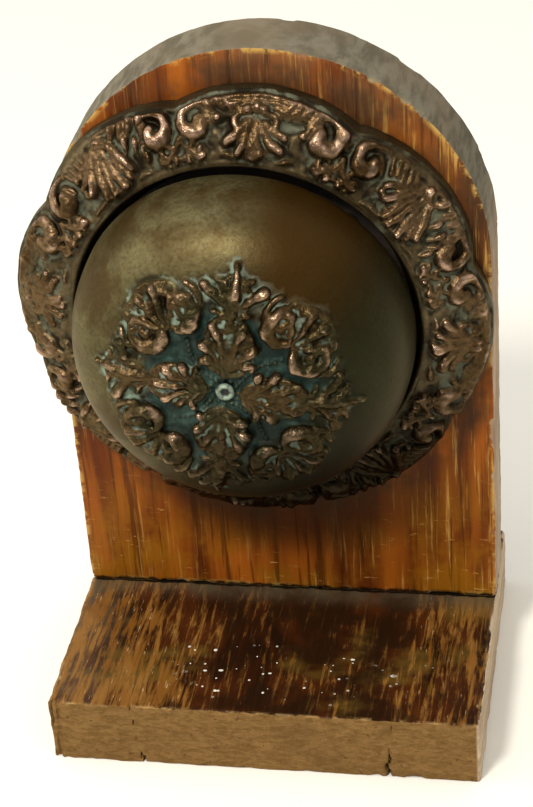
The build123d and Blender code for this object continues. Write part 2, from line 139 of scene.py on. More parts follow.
class Relief:
    """Heights over a flat chart. Its coordinates x and y and its heights are millimetres."""

    def __init__(self, x, y, fat=1.0):
        self.x, self.y = x.ravel(), y.ravel()
        self.fat = fat
        self.shape = x.shape
        self.height = np.zeros(self.x.size)

    def near(self, low, high, reach):
        """The cells within reach of a box."""
        inside = (self.x > low[0] - reach) & (self.x < high[0] + reach)
        inside &= (self.y > low[1] - reach) & (self.y < high[1] + reach)
        return np.nonzero(inside)[0]

    def stroke(self, points, power=0.7, base=0.0):
        """A rounded ridge along points of x, y, half width and height, standing on a level of its own."""
        line = through(points) * (1, 1, self.fat, 1)
        cells = self.near(line[:, :2].min(0), line[:, :2].max(0), line[:, 2].max())
        if not cells.size:
            return
        start, step = line[:-1], np.diff(line, axis=0)
        place = np.stack([self.x[cells], self.y[cells]], 1)[:, None, :]
        length = np.maximum((step[:, :2] ** 2).sum(1), 1e-9)
        share = np.clip(((place - start[:, :2]) * step[:, :2]).sum(2) / length, 0, 1)
        offset = place - (start[:, :2] + share[..., None] * step[:, :2])
        width = np.maximum(start[:, 2] + share * step[:, 2], 0.01)
        tall = start[:, 3] + share * step[:, 3]
        across = (offset**2).sum(2) / width**2
        ridge = np.where(across < 1, base + tall * np.clip(1 - across, 0, 1) ** power, -9.0)
        self.height[cells] = np.maximum(self.height[cells], ridge.max(1))

    def bead(self, x, y, radius, tall, base=0.0):
        """A round bead."""
        self.stroke([(x, y, radius, tall), (x + 0.02, y, radius, tall)], 0.55, base)

    def pocket(self, x, y, wide, high, depth):
        """A soft hollow."""
        cells = self.near((x - wide, y - high), (x + wide, y + high), 0.0)
        share = ((self.x[cells] - x) / wide) ** 2 + ((self.y[cells] - y) / high) ** 2
        self.height[cells] -= depth * np.clip(1 - share, 0, 1) ** 0.8

    def grid(self):
        return self.height.reshape(self.shape)


def placed(points, x=0.0, y=0.0, side=1, turn=0.0, size=1.0):
    """Points scaled, mirrored if side is -1, turned by some degrees and carried to x, y."""
    c, s = math.cos(math.radians(turn)), math.sin(math.radians(turn))
    made = []
    for px, py, width, tall in points:
        px, py = side * size * px, size * py
        made.append((x + c * px - s * py, y + s * px + c * py, width * size, tall))
    return made


# What the plate's ornament repeats, as points of x, y, half width and height.
ROLL = [(-4.8, 2.7, 0.5, 1.0), (-2.3, 3.5, 0.7, 1.5), (0.6, 3.1, 0.95, 2.0), (2.5, 1.3, 1.2, 2.4)]
ROLL += [(2.6, -1.1, 1.5, 2.8), (0.8, -2.5, 1.8, 3.1), (-1.3, -2.0, 1.8, 3.1), (-1.5, -0.5, 1.5, 3.0)]
ROLL_LEAF = [(-2.6, 1.6, 0.5, 1.5), (-3.8, 0.2, 0.6, 1.7), (-4.4, -1.8, 0.4, 1.2)]
CURL = [(0.9, 1.0, 0.7, 1.6), (0.3, -0.2, 0.95, 2.2), (-0.8, -1.5, 0.7, 1.6), (-1.8, -2.6, 0.4, 1.0)]
SPRIG = [(-0.2, 1.6, 0.7, 1.5), (0.8, -0.2, 0.8, 1.4), (2.6, -2.0, 1.0, 1.5), (4.6, -3.2, 1.1, 1.7)]
SPRIG += [(6.0, -3.0, 0.9, 1.9)]
LEAFLET = [(0, 0, 0.6, 1.3), (0.9, 0.9, 0.85, 1.8), (1.5, 1.6, 0.5, 1.4)]


def volute(relief, x, y, side, turn=0.0, size=1.0):
    """A comma-shaped roll, thickest below and round at its inner end, with a leaf under its stem."""
    relief.pocket(x, y + 0.6, 2.4 * size, 2.4 * size, 0.5)
    relief.stroke(placed(ROLL, x, y, side, turn, size), 0.5)
    relief.stroke(placed(ROLL_LEAF, x, y, side, turn, size), 0.6)


def curls(relief, side, turn, spots):
    """Curled leaves, each at an x and a y and of a size."""
    for x, y, size in spots:
        relief.stroke(placed(CURL, x, y, side, turn, size), 0.6)


def ribs(relief, lines, x=0.0):
    """Leaf ribs, each a row of points with its widest place two thirds of the way along."""
    for points, width, tall in lines:
        share = np.linspace(0, 1, len(points))
        swell = 0.55 + 0.6 * share - 0.35 * smooth_step(0.75, 1, share)
        rise = 0.65 + 0.4 * share - 0.1 * smooth_step(0.8, 1, share)
        line = [(x + px, py, width * w, tall * h) for (px, py), w, h in zip(points, swell, rise)]
        relief.stroke(line, 0.55)


# ---------------------------------------------------------------- the plate's panels

chart_radius_mm = 55.0  # the chart's y is measured from this radius, and its x runs along it
plate_radius_mm = 64.0
lip_radius_mm = 46.2
lip_width_mm = 1.2
lip_height_mm = (board_face - plate_low.y) / MM
skirt_height_mm = 2.7
notch_mm = 3.0
panels = 8
panel_turn = math.radians(-7.5)
panel_angle = 2 * math.pi / panels


def outline_radius(angle):
    """The plate's outline, an arc for each panel, as a radius in millimetres."""
    local = (angle - panel_turn + panel_angle / 2) % panel_angle - panel_angle / 2
    end = plate_radius_mm - notch_mm
    end_x, end_y = end * math.cos(panel_angle / 2), end * math.sin(panel_angle / 2)
    centre = (plate_radius_mm**2 - end_x**2 - end_y**2) / (2 * (plate_radius_mm - end_x))
    arc = plate_radius_mm - centre
    return centre * np.cos(local) + np.sqrt(arc**2 - (centre * np.sin(local)) ** 2)


def rim(x):
    """The outline's height on a panel's chart."""
    return float(outline_radius(panel_turn + x / chart_radius_mm)) - chart_radius_mm


def moulding(relief, below, start, end, width, tall):
    """A ridge that follows the outline, some way below it."""
    places = np.linspace(start, end, 9)
    relief.stroke([(x, rim(x) - below, width, tall) for x in places])


PALMETTE = (
    (((0.2, 3.0), (0.3, 0.0), (0.6, -3.0), (1.6, -5.0)), 1.35, 2.7),
    (((-0.2, 3.0), (-0.4, -0.5), (-0.4, -3.8), (0.0, -7.2)), 1.35, 2.6),
    (((0.5, 3.0), (1.8, 0.4), (3.8, -2.0), (7.2, -3.4)), 1.3, 2.7),
    (((0.6, 3.0), (2.6, 1.6), (4.4, 0.2), (7.6, -0.6)), 1.1, 2.2),
    (((-0.5, 3.0), (-1.8, 0.2), (-2.6, -2.4), (-4.0, -5.0)), 1.3, 2.6),
    (((-0.6, 3.0), (-2.8, 0.8), (-4.8, -1.4), (-7.4, -2.8)), 1.3, 2.5),
    (((-2.6, 4.0), (-4.9, 2.8), (-5.3, 1.2), (-4.0, -0.3)), 0.9, 2.2),
    (((2.6, 4.0), (4.7, 3.0), (5.0, 1.6), (4.0, 0.2)), 0.9, 2.2),
)
ACANTHUS = (
    (((1.0, 5.2), (3.3, 2.8), (5.0, 0.0), (6.8, -3.0)), 1.15, 2.9),
    (((0.8, 4.8), (2.4, 1.2), (3.8, -1.8), (5.2, -4.8)), 1.0, 2.2),
    (((0.4, 4.4), (1.2, 0.6), (1.8, -2.6), (2.8, -6.2)), 1.2, 2.6),
    (((0.0, 4.4), (-0.4, 0.4), (-0.9, -2.8), (-1.2, -6.4)), 1.1, 2.2),
    (((-0.4, 4.8), (-2.0, 1.2), (-3.2, -1.8), (-4.2, -5.4)), 1.15, 2.4),
    (((-0.8, 5.2), (-3.4, 2.2), (-5.4, -0.4), (-7.2, -2.4)), 1.2, 2.8),
    (((-1.2, 5.4), (-4.4, 3.2), (-6.8, 1.4), (-9.2, 0.2)), 0.9, 2.0),
    (((-3.0, -5.4), (-5.4, -5.9), (-8.0, -6.3), (-10.8, -6.4)), 0.8, 1.2),
)


def cartouche(relief):
    """A framed panel: a moulded band ending in volutes, with a shell in the middle."""
    relief.pocket(-9.8, 1.6, 3.2, 3.0, 0.7)
    relief.pocket(6.0, 2.6, 3.4, 2.6, 0.7)
    relief.stroke([(x, rim(x) - 2.6, 2.6, 0.8) for x in np.linspace(-15, 15, 9)], 0.25)
    moulding(relief, 0.9, -14.0, 17.0, 0.5, 1.3)
    moulding(relief, 2.0, -12.0, 15.5, 0.6, 1.8)
    moulding(relief, 3.2, -10.0, 14.0, 0.55, 1.7)
    moulding(relief, 4.3, -6.0, 11.0, 0.45, 1.5)
    volute(relief, -17.0, 2.7, -1)
    volute(relief, 15.8, 2.6, 1, size=1.14)
    curls(relief, -1, 0, ((-13.2, 5.6, 0.9), (-11.0, 6.2, 0.8), (-8.6, 6.0, 0.8)))
    curls(relief, 1, 0, ((5.9, 6.0, 0.9), (7.6, 5.5, 0.9), (9.7, 5.6, 0.9), (12.2, 5.4, 1.0)))
    relief.bead(-11.4, 2.6, 1.0, 1.8)
    relief.bead(10.2, 1.0, 0.9, 1.4)
    relief.stroke([(-1.7, 3.6, 2.8, 1.2), (-1.7, 0.6, 4.0, 1.2), (-1.4, -2.2, 4.2, 1.0)], 0.25)
    ribs(relief, PALMETTE, -1.7)
    for x, y in ((-3.9, 4.1), (-1.9, 4.6), (0.1, 4.2)):
        relief.bead(x, y, 1.0, 3.0)
    relief.stroke([(-10.6, -5.4, 0.5, 1.0), (-8.7, -5.7, 0.8, 1.3), (-6.6, -6.6, 0.4, 0.8)])
    relief.stroke([(5.6, -6.6, 0.4, 0.8), (7.6, -5.8, 0.8, 1.3), (9.6, -5.4, 0.5, 1.0)])


def leaf_panel(relief):
    """A panel with a lopsided acanthus leaf, curls each side of it and a volute in each corner."""
    relief.pocket(8.4, 2.2, 3.0, 2.2, 0.7)
    relief.pocket(-9.6, 2.4, 3.0, 2.4, 0.6)
    moulding(relief, 0.9, -16.0, 16.0, 0.5, 1.1)
    moulding(relief, 1.9, -14.0, 14.0, 0.4, 1.1)
    volute(relief, 16.2, 2.4, 1, -4)
    volute(relief, -16.0, 2.2, -1, 4)
    curls(relief, 1, 6, ((4.8, 6.2, 0.95), (7.5, 5.9, 0.95), (10.0, 6.0, 0.95), (12.8, 5.8, 0.95)))
    curls(relief, 1, 20, ((7.2, 2.8, 0.9), (9.9, 1.6, 0.9), (11.6, -0.4, 0.7), (12.4, -2.6, 0.7)))
    for step in range(5):
        x = -3.6 - 1.65 * step
        relief.stroke([(x - 0.6, 6.3 - 0.25 * step, 0.6, 1.6), (x + 0.5, 3.9 - 0.4 * step, 0.7, 1.7)], 0.6)
    relief.stroke([(0.4, 4.0, 2.6, 1.2), (0.0, 0.4, 4.8, 1.2), (-0.4, -3.0, 4.6, 1.0)], 0.25)
    ribs(relief, ACANTHUS)
    relief.bead(0.4, 5.5, 1.0, 2.8)
    relief.bead(3.1, 3.4, 0.9, 2.9)
    relief.bead(-9.0, -1.6, 0.9, 1.4)
    relief.stroke([(6.8, -6.2, 0.4, 0.8), (9.0, -5.6, 0.7, 1.1), (11.2, -6.2, 0.4, 0.8)])


def border_sprig(relief):
    """What fills the border between two panels: a bud, and a leafy sprig each way along the ring."""
    for side in (-1, 1):
        relief.stroke([(side * 1.0, -2.4, 1.6, 0.7), (side * 5.4, -4.4, 1.6, 0.7)], 0.3)
        relief.stroke(placed(SPRIG, side * 0.2, -2.0, side), 0.6)
        for x, y, turn in ((2.4, -3.0, 0), (4.4, -4.4, 0), (1.6, -5.0, 120), (4.0, -6.2, 130)):
            relief.stroke(placed(LEAFLET, side * x, y, side, side * -turn, 0.9), 0.6)
    relief.bead(0, -0.8, 0.9, 1.9)
    relief.stroke([(0, 1.4, 0.6, 1.2), (0, 3.4, 0.45, 0.9)], 0.6)
    relief.bead(0, -5.2, 0.8, 1.3)


def plate_relief(radius, angle):
    """The relief over the plate's band, in millimetres, on a grid of radii and angles."""
    total = np.zeros(radius.shape)
    flat_x, flat_y = np.cos(angle) * radius, np.sin(angle) * radius
    for half_turns in range(2 * panels):
        middle = panel_turn + half_turns * panel_angle / 2
        turned = (middle - angle + math.pi) % (2 * math.pi) - math.pi
        wobble = 0.4 * cloud(radius / 4.0, turned * 13, half_turns * 3.7, 2)
        sway = 0.4 * cloud(radius / 4.0 + 40, turned * 13, half_turns * 5.1, 2)
        chart = Relief(turned * chart_radius_mm + wobble, radius - chart_radius_mm + sway, 1.28)
        if half_turns % 2:
            border_sprig(chart)
        elif half_turns % 4:
            leaf_panel(chart)
        else:
            cartouche(chart)
        drawn = chart.grid()
        total = np.where(np.abs(drawn) > np.abs(total), drawn, total)
    turned = (angle - panel_turn - 4 * panel_angle + math.pi) % (2 * math.pi) - math.pi
    rubbed_flat = 1 - 0.4 * np.exp(-((turned / 0.42) ** 2))
    worn = (0.84 + 0.24 * cloud(flat_x / 9, flat_y / 9, 3.0, 2)) * rubbed_flat
    lumps = 0.3 * cloud(flat_x / 3.0, flat_y / 3.0, 5.0, 2) + 0.2 * cloud(flat_x / 1.2, flat_y / 1.2, 9.0, 2)
    return total * worn * 1.08 + lumps


# ---------------------------------------------------------------- meshes from rings of points


def make_piece(name, points, faces, layers=None, creases=None):
    """A smooth-shaded mesh object with one number per point in each named layer."""
    mesh = bpy.data.meshes.new(name)
    mesh.from_pydata(points.tolist(), [], faces)
    mesh.polygons.foreach_set("use_smooth", np.ones(len(mesh.polygons), bool))
    for label, values in (layers or {}).items():
        layer = mesh.attributes.new(label, "FLOAT", "POINT")
        layer.data.foreach_set("value", np.asarray(values, np.float32))
    mesh.update()
    piece = bpy.data.objects.new(name, mesh)
    bpy.context.scene.collection.objects.link(piece)
    if creases is not None:
        mesh.set_sharp_from_angle(angle=math.radians(creases))
    return piece


def stitched(counts, closed=False):
    """Faces between rings of points, each with as many, twice or half as many as the ring before."""
    starts = np.concatenate([[0], np.cumsum(counts)])
    faces = []
    pairs = len(counts) if closed else len(counts) - 1
    for ring in range(pairs):
        following = (ring + 1) % len(counts)
        here, there = counts[ring], counts[following]
        a, b = int(starts[ring]), int(starts[following])
        for i in range(min(here, there)):
            j = (i + 1) % min(here, there)
            if here == there:
                faces.append((a + i, b + i, b + j, a + j))
            elif there > here:
                middle, end = b + 2 * i + 1, b + (2 * i + 2) % there
                faces += [(a + i, b + 2 * i, middle), (a + i, middle, a + j), (a + j, middle, end)]
            else:
                middle, end = a + 2 * i + 1, a + (2 * i + 2) % here
                faces += [(a + 2 * i, b + i, middle), (middle, b + i, b + j), (middle, b + j, end)]
    return faces


def capped(rows, count):
    """Faces between rows with as many points each, with one face across each end."""
    faces = stitched([count] * rows)
    faces.append(tuple(range(count))[::-1])
    faces.append(tuple(range((rows - 1) * count, rows * count)))
    return faces


def on_bell(radius_mm, out_mm, angle):
    """Points at a radius from the bell's axis and a distance out from the board's face."""
    x = axis_x + radius_mm * MM * np.cos(angle)
    z = axis_z + radius_mm * MM * np.sin(angle)
    return np.stack([x, board_face - out_mm * MM + 0 * x, z], -1)


def make_plate():
    """The cast ring, from the inner wall over the lip and the band, round the rim and back inside."""
    columns, band_rows = 1080, 60
    angle = np.linspace(0, 2 * math.pi, columns, endpoint=False)
    rim_x, rim_y = np.cos(angle) * plate_radius_mm, np.sin(angle) * plate_radius_mm
    edge = outline_radius(angle) - 0.1 + 0.22 * cloud(rim_x / 5, rim_y / 5, 1.0)
    lip_outer = lip_radius_mm + lip_width_mm
    rounding, wall, floor, opening = 1.0, 2.2, 2.0, 30.0

    def band_out(radius):
        share = (radius - lip_outer) / (plate_radius_mm - lip_outer)
        return lip_height_mm + (skirt_height_mm - lip_height_mm) * share + 4.8 * share * (1 - share)

    radii, outs, heights = [], [], []

    def row(radius, out, height=0.0):
        radii.append(radius + 0 * angle)
        outs.append(out + 0 * angle)
        heights.append(height + 0 * angle)

    dent = 0.35 * smooth_step(0.1, 0.9, cloud(np.cos(angle) * 9, np.sin(angle) * 9, 4.0))
    for out in (floor, 5.0, 8.0, 10.0):
        row(lip_radius_mm, out)
    lip_roll = ((-0.35, 10.9, 0), (-0.4, 11.5, 0), (-0.2, 12.1, 0), (0.1, lip_height_mm - 0.25, 0.3))
    lip_roll += ((0.5, lip_height_mm, 0.5), (lip_width_mm - 0.3, lip_height_mm - 0.1, 1.0))
    for past_wall, out, dented in lip_roll:
        row(lip_radius_mm + past_wall, out - dented * dent)
    share = np.linspace(0, 1, band_rows)[:, None]
    band = lip_outer + share * (edge - rounding - lip_outer)
    drawn = blurred(plate_relief(band, np.broadcast_to(angle, band.shape)), 1, True)
    fade = smooth_step(0.0, 1.4, band - lip_outer) * smooth_step(0.0, 0.8, edge - rounding + 0.3 - band)
    drawn = drawn * fade
    for radius, height in zip(band, drawn):
        row(radius, band_out(radius), height)
    first_band, last_band = len(radii) - band_rows, len(radii) - 1
    corner_out = band_out(edge - rounding)
    for turn in (30, 60, 90):
        c, s = math.cos(math.radians(turn)), math.sin(math.radians(turn))
        row(edge - rounding + rounding * s, corner_out - rounding * (1 - c))
    for out_share in (0.66, 0.33, 0.08):
        row(edge, (corner_out - rounding) * out_share)
    row(edge - 0.3, 0.0)
    row(edge - wall, 0.0)
    row(edge - wall, skirt_height_mm - 1.2)
    row((edge + lip_outer) / 2, 6.0)
    row(lip_radius_mm + wall + 0.3, lip_height_mm - 3.6)
    row(lip_radius_mm + wall, 0.0)
    row(opening, 0.0)
    row(opening, floor)
    radii, outs, heights = np.array(radii), np.array(outs), np.array(heights)
    slope = np.gradient(outs[first_band : last_band + 1], axis=0) / np.gradient(band, axis=0)
    flat = 1 / np.sqrt(1 + slope**2)
    radii[first_band : last_band + 1] -= slope * flat * drawn
    outs[first_band : last_band + 1] += flat * drawn
    points = on_bell(radii, outs, angle).reshape(-1, 3)
    hollow = blurred(heights, 4, True) - heights
    hollow += 0.5 * (blurred(heights, 9, True) - heights)
    band_only = np.zeros(heights.shape)
    band_only[first_band - 3 : last_band + 3] = 1
    layers = {"relief": heights.ravel(), "hollow": (hollow * band_only).ravel(), "band": band_only.ravel()}
    faces = stitched([columns] * len(radii), closed=True)
    return make_piece("ornate_plate_cast", points, faces, layers)


# ---------------------------------------------------------------- the gong

gong_radius_mm = (gong_high.x - gong_low.x) / 2 / MM
gong_height_mm = (gong_high.y - gong_low.y) / MM
gong_rim_mm = (board_face - gong_high.y) / MM
gong_wall_mm = 1.5
dome_power = 2.9
crown_hole_mm = 1.8
ornament_mm = 35.5
ornament_turn = -8.0
crown_ground_mm = 21.5


def dome_out(radius, full_radius, full_height):
    """How far out a dome stands at a radius."""
    inside = np.clip(1 - (radius / full_radius) ** dome_power, 0, 1)
    return gong_rim_mm + full_height * inside ** (1 / dome_power)


def crown_pen(relief, turn, size):
    """Draws strokes turned and scaled about the crown's middle."""

    def put(points, power=0.6, side=1, base=0.0):
        relief.stroke(placed(points, side=side, turn=turn, size=size), power, base)

    return put


def crown_leaf(put, lobes):
    """One of the four chunky leaves round the gong's screw. Its lobes spread away from the screw."""
    put([(0, 6.8, 3.0, 1.7), (0, 10.5, 6.2, 1.9), (0, 14.0, 6.8, 1.9), (0, 16.4, 5.4, 1.7)], 0.16)
    for angle, reach, width in lobes:
        lean = math.radians(angle)
        tip = reach * math.sin(lean), 8.6 + reach * math.cos(lean)
        knee = 0.55 * tip[0], 8.6 + 0.5 * (tip[1] - 8.6)
        bend = 0.82 * tip[0], 8.6 + 0.8 * (tip[1] - 8.6)
        put([(0.1 * tip[0], 6.4, 0.7, 2.1), (*knee, 1.2 * width, 2.9), (*bend, 1.65 * width, 3.4)], 0.55)
        put([(*bend, 1.65 * width, 3.4), (*tip, 1.45 * width, 3.0)], 0.5)
        put([(tip[0], tip[1] - 0.6, 0.8, 0.8), (tip[0], tip[1] - 0.5, 0.8, 0.8)], 0.5, base=2.4)
    put([(-0.6, 5.2, 0.9, 1.6), (0.6, 5.2, 0.9, 1.6)], 0.5)


def crown_spike(put):
    """A bud on the ornament's edge, straight out from a crown leaf, with curled leaves each side."""
    put([(0, 22.4, 2.4, 1.4), (0, 26.4, 4.8, 1.5), (0, 29.4, 2.6, 1.4)], 0.16)
    put([(0, 20.8, 1.3, 2.0), (0, 24.0, 2.2, 3.0), (0, 28.0, 1.9, 2.9), (0, 31.6, 1.0, 2.1)], 0.5)
    put([(0, 33.2, 1.0, 2.0), (0, 33.4, 1.0, 2.0)], 0.5)
    for side in (-1, 1):
        put([(0.8, 22.6, 0.9, 1.6), (3.4, 25.6, 1.4, 2.3), (7.2, 27.8, 1.7, 2.6)], side=side)
        put([(0.8, 26.4, 0.8, 1.7), (2.6, 29.4, 1.1, 2.1), (4.6, 30.0, 0.8, 1.7)], side=side)
        put([(1.0, 20.4, 0.9, 1.4), (3.0, 22.0, 1.1, 1.8), (4.8, 22.2, 0.8, 1.5)], side=side)


def crown_corner(put, fan):
    """A shell on the ornament's edge, between two buds, with two round rolls that bite into the ground."""
    put([(-8.6, 23.4, 3.4, 1.5), (-4, 25.6, 4.4, 1.7), (4, 25.6, 4.4, 1.7), (8.6, 23.4, 3.4, 1.5)], 0.14)
    put([(-5.6, 28.4, 3.2, 1.4), (0, 30.0, 3.6, 1.5), (5.6, 28.4, 3.2, 1.4)], 0.16)
    roll = [(1.4, 21.8, 1.2, 2.3), (3.4, 20.0, 2.0, 3.0), (6.0, 20.0, 2.5, 3.4)]
    roll += [(8.2, 22.0, 2.4, 3.4), (8.6, 25.0, 1.9, 3.1), (7.0, 27.0, 1.3, 2.8)]
    for side in (-1, 1):
        put(roll, 0.45, side)
        put([(5.6, 23.6, 1.9, 2.7), (5.4, 25.6, 1.6, 2.6)], 0.45, side)
        put([(10.6, 22.6, 1.2, 1.9), (12.0, 25.0, 1.4, 2.2), (11.2, 28.0, 0.9, 1.6)], side=side)
    for angle in fan:
        lean = math.radians(angle)
        reach = 10.4 - 2.6 * abs(lean)
        tip = reach * math.sin(lean), 21.6 + reach * math.cos(lean)
        knee = 0.6 * tip[0], 21.6 + 0.6 * (tip[1] - 21.6)
        put([(tip[0] * 0.15, 22.4, 0.7, 2.2), (*knee, 1.15, 3.1), (*tip, 1.4, 2.9)], 0.55)
        put([(tip[0], tip[1], 1.4, 2.8), (tip[0] * 1.04, tip[1] + 0.3, 1.2, 2.4)], 0.5)


def spoke(away, turn):
    """A point some way from the crown's middle, turned by some degrees."""
    return placed([(0, away, 1, 1)], turn=turn)[0][:2]


def gong_chart():
    """The ornament's heights on a square grid, the same blurred, and the ground inside its border."""
    step, reach = 0.22, ornament_mm + 1.5
    line = np.arange(-reach, reach + step, step)
    x, y = np.meshgrid(line, line)
    wobble = 0.45 * cloud(x / 5, y / 5, 2.0, 2)
    sway = 0.45 * cloud(x / 5 + 30, y / 5, 2.0, 2)
    chart = Relief(x + wobble, y + sway)
    radius = np.hypot(chart.x, chart.y)
    chart.height -= 0.5 * (1 - smooth_step(17.0, 22.0, radius))
    chart.height *= 1.3
    # Each lobe of a crown leaf has an angle in degrees, a reach and a width.
    six = ((-92, 6.4, 0.9), (-58, 8.2, 1.0), (-24, 10.2, 1.15))
    six += ((20, 9.8, 1.15), (56, 8.2, 1.0), (90, 6.2, 0.9))
    seven = ((-96, 5.8, 0.8), (-62, 7.4, 0.9), (-32, 8.8, 1.0), (0, 9.6, 1.1))
    seven += ((32, 8.8, 1.0), (62, 7.4, 0.9), (96, 5.8, 0.8))
    for turn, size, lobes in ((0, 1.0, six), (90, 0.94, seven), (180, 1.02, seven), (270, 0.98, six)):
        crown_leaf(crown_pen(chart, turn + ornament_turn, size), lobes)
        crown_spike(crown_pen(chart, turn + ornament_turn, 1.0))
    fans = ((-44, -14, 16, 46), (-56, -28, 0, 28, 56), (-50, -25, 0, 25, 50), (-46, -16, 14, 44))
    for turn, size, fan in zip((45, 135, 225, 315), (1.0, 1.0, 0.99, 0.98), fans):
        crown_corner(crown_pen(chart, turn + ornament_turn, size), fan)
    for turn in (45, 135, 225, 315):
        for bead in range(10):
            bend = ornament_turn + turn + 5 * math.sin(bead * 0.5)
            chart.bead(*spoke(4.8 + 1.35 * bead, bend), 0.62, 1.3, -0.4)
    for bead in range(12):
        chart.bead(*spoke(3.5, 30 * bead), 0.62, 1.3, -0.4)
    heights = chart.grid()
    worn = 0.82 + 0.24 * cloud(x / 7, y / 7, 5.0, 2)
    skin = 0.42 * cloud(x / 2.4, y / 2.4, 8.0, 2) + 0.26 * cloud(x / 1.0, y / 1.0, 3.0, 2)
    cover = smooth_step(0.2, 1.0, heights)
    heights = blurred(heights * worn + skin * cover, 1)
    return line, heights, blurred(heights, 4), blurred(heights, 9)


def dome_ring(angle, full_radius, full_height):
    """A dome's radius and how far out it stands, at an angle from its axis."""
    radius = full_radius * math.sin(angle) ** (2 / dome_power)
    return radius, gong_rim_mm + full_height * max(math.cos(angle), 0) ** (2 / dome_power)


def sampled(line, grid, x, y):
    """A grid's values at points, with the four cells round each point mixed."""
    step = line[1] - line[0]
    across = np.clip((x - line[0]) / step, 0, len(line) - 2)
    up = np.clip((y - line[0]) / step, 0, len(line) - 2)
    i, j = across.astype(int), up.astype(int)
    s, t = across - i, up - j
    low = grid[j, i] * (1 - s) + grid[j, i + 1] * s
    high = grid[j + 1, i] * (1 - s) + grid[j + 1, i + 1] * s
    return low * (1 - t) + high * t


def make_gong():
    """The dome as rings of points: out over the ornament and the shoulder, round the rim and back inside."""
    rings = []
    for radius in np.arange(crown_hole_mm, ornament_mm, 0.29):
        count = 96 if radius < 4.5 else 192 if radius < 9 else 384 if radius < 18 else 768
        rings.append((radius, float(dome_out(radius, gong_radius_mm, gong_height_mm)), count, 1))
    turn = math.asin(min(1, (ornament_mm / gong_radius_mm) ** (dome_power / 2)))
    for angle in np.linspace(turn, math.pi / 2, 30):
        rings.append((*dome_ring(angle, gong_radius_mm, gong_height_mm), 384, 1))
    rings[-1] = (gong_radius_mm, gong_rim_mm + 0.35, 384, 1)
    rings.append((gong_radius_mm - 0.12, gong_rim_mm + 0.1, 384, 0))
    rings.append((gong_radius_mm - 0.4, gong_rim_mm, 384, 0))
    rings.append((gong_radius_mm - gong_wall_mm, gong_rim_mm, 192, 0))
    inner_radius, inner_height = gong_radius_mm - gong_wall_mm, gong_height_mm - gong_wall_mm
    for angle in np.linspace(math.pi / 2, 0.1, 24)[1:]:
        radius, out = dome_ring(angle, inner_radius, inner_height)
        if radius > crown_hole_mm + 1:
            rings.append((radius, out, 192, 0))
    rings.append((crown_hole_mm, gong_rim_mm + inner_height, 96, 0))
    line, heights, near_blur, far_blur = gong_chart()
    points, reliefs, hollows, grounds = [], [], [], []
    for radius, out, count, outside in rings:
        angle = np.linspace(0, 2 * math.pi, count, endpoint=False)
        x, y = radius * np.cos(angle), radius * np.sin(angle)
        inside = outside * (radius < ornament_mm + 1)
        height = sampled(line, heights, x, y) * inside
        near = sampled(line, near_blur, x, y) * inside
        far = sampled(line, far_blur, x, y) * inside
        ratio = min(radius / gong_radius_mm, 0.999)
        fall = ratio ** (dome_power - 1) * (1 - ratio**dome_power) ** (1 / dome_power - 1)
        slope = -gong_height_mm / gong_radius_mm * fall
        flat = 1 / math.sqrt(1 + slope**2)
        dents = 0.06 * cloud(x / 14, y / 14, out / 14, 2) * outside
        lift = height + dents
        points.append(on_bell(radius - slope * flat * lift, out + flat * lift, angle))
        reliefs.append(height)
        hollows.append(near - height + 0.5 * (far - height))
        edge = crown_ground_mm + 3.2 * cloud(np.cos(angle) * 2.4, np.sin(angle) * 2.4, 6.0, 2)
        grounds.append(inside * (1 - smooth_step(edge - 1.5, edge + 3.5, radius)) * np.ones(count))
    layers = {
        "relief": np.concatenate(reliefs),
        "hollow": np.concatenate(hollows),
        "ground": np.concatenate(grounds),
    }
    faces = stitched([ring[2] for ring in rings], closed=True)
    return make_piece("gong_cast", np.concatenate(points), faces, layers)


def turned_piece(name, profile, columns=48):
    """A closed solid turned about the bell's axis from (radius, out) points, with soft corners."""
    line = np.array(profile)
    angle = np.linspace(0, 2 * math.pi, columns, endpoint=False)
    points = np.concatenate([on_bell(radius, out, angle) for radius, out in line])
    return make_piece(name, points, capped(len(line), columns), creases=50)


def make_crown_screw():
    """The gong's screw, whose head is a raised ring round a dark pit."""
    top = (board_face - gong_low.y) / MM
    profile = [(1.5, top - 12.0), (1.5, top + 0.05), (2.3, top + 0.1), (2.4, top + 0.6), (2.15, top + 1.1)]
    profile += [(1.75, top + 1.3), (1.3, top + 1.1), (0.9, top + 0.45), (0.4, top + 0.3)]
    return turned_piece("gong_screw_cast", profile)


# ---------------------------------------------------------------- the worn boards

spring_mm = 110.5  # from the upright board's foot to the start of its arch


def corner_rounding(distance, radius):
    """How far in from both sides of a sharp corner a round one lies, at a distance along a side."""
    reach = np.clip(distance, 0.293 * radius, radius)
    return radius - np.sqrt(radius**2 - (radius - reach) ** 2)


def side_points(corners, spacing):
    """Points along a closed outline's sides, evenly spaced, each with its distance to the nearest corner."""
    made, nearest = [], []
    for start, end in zip(corners, corners[1:] + corners[:1]):
        start, end = np.array(start), np.array(end)
        length = float(np.linalg.norm(end - start))
        count = max(2, round(length / spacing))
        share = np.arange(count) / count
        made.append(start + share[:, None] * (end - start))
        nearest.append(np.minimum(share, 1 - share) * length)
    return np.concatenate(made), np.concatenate(nearest)


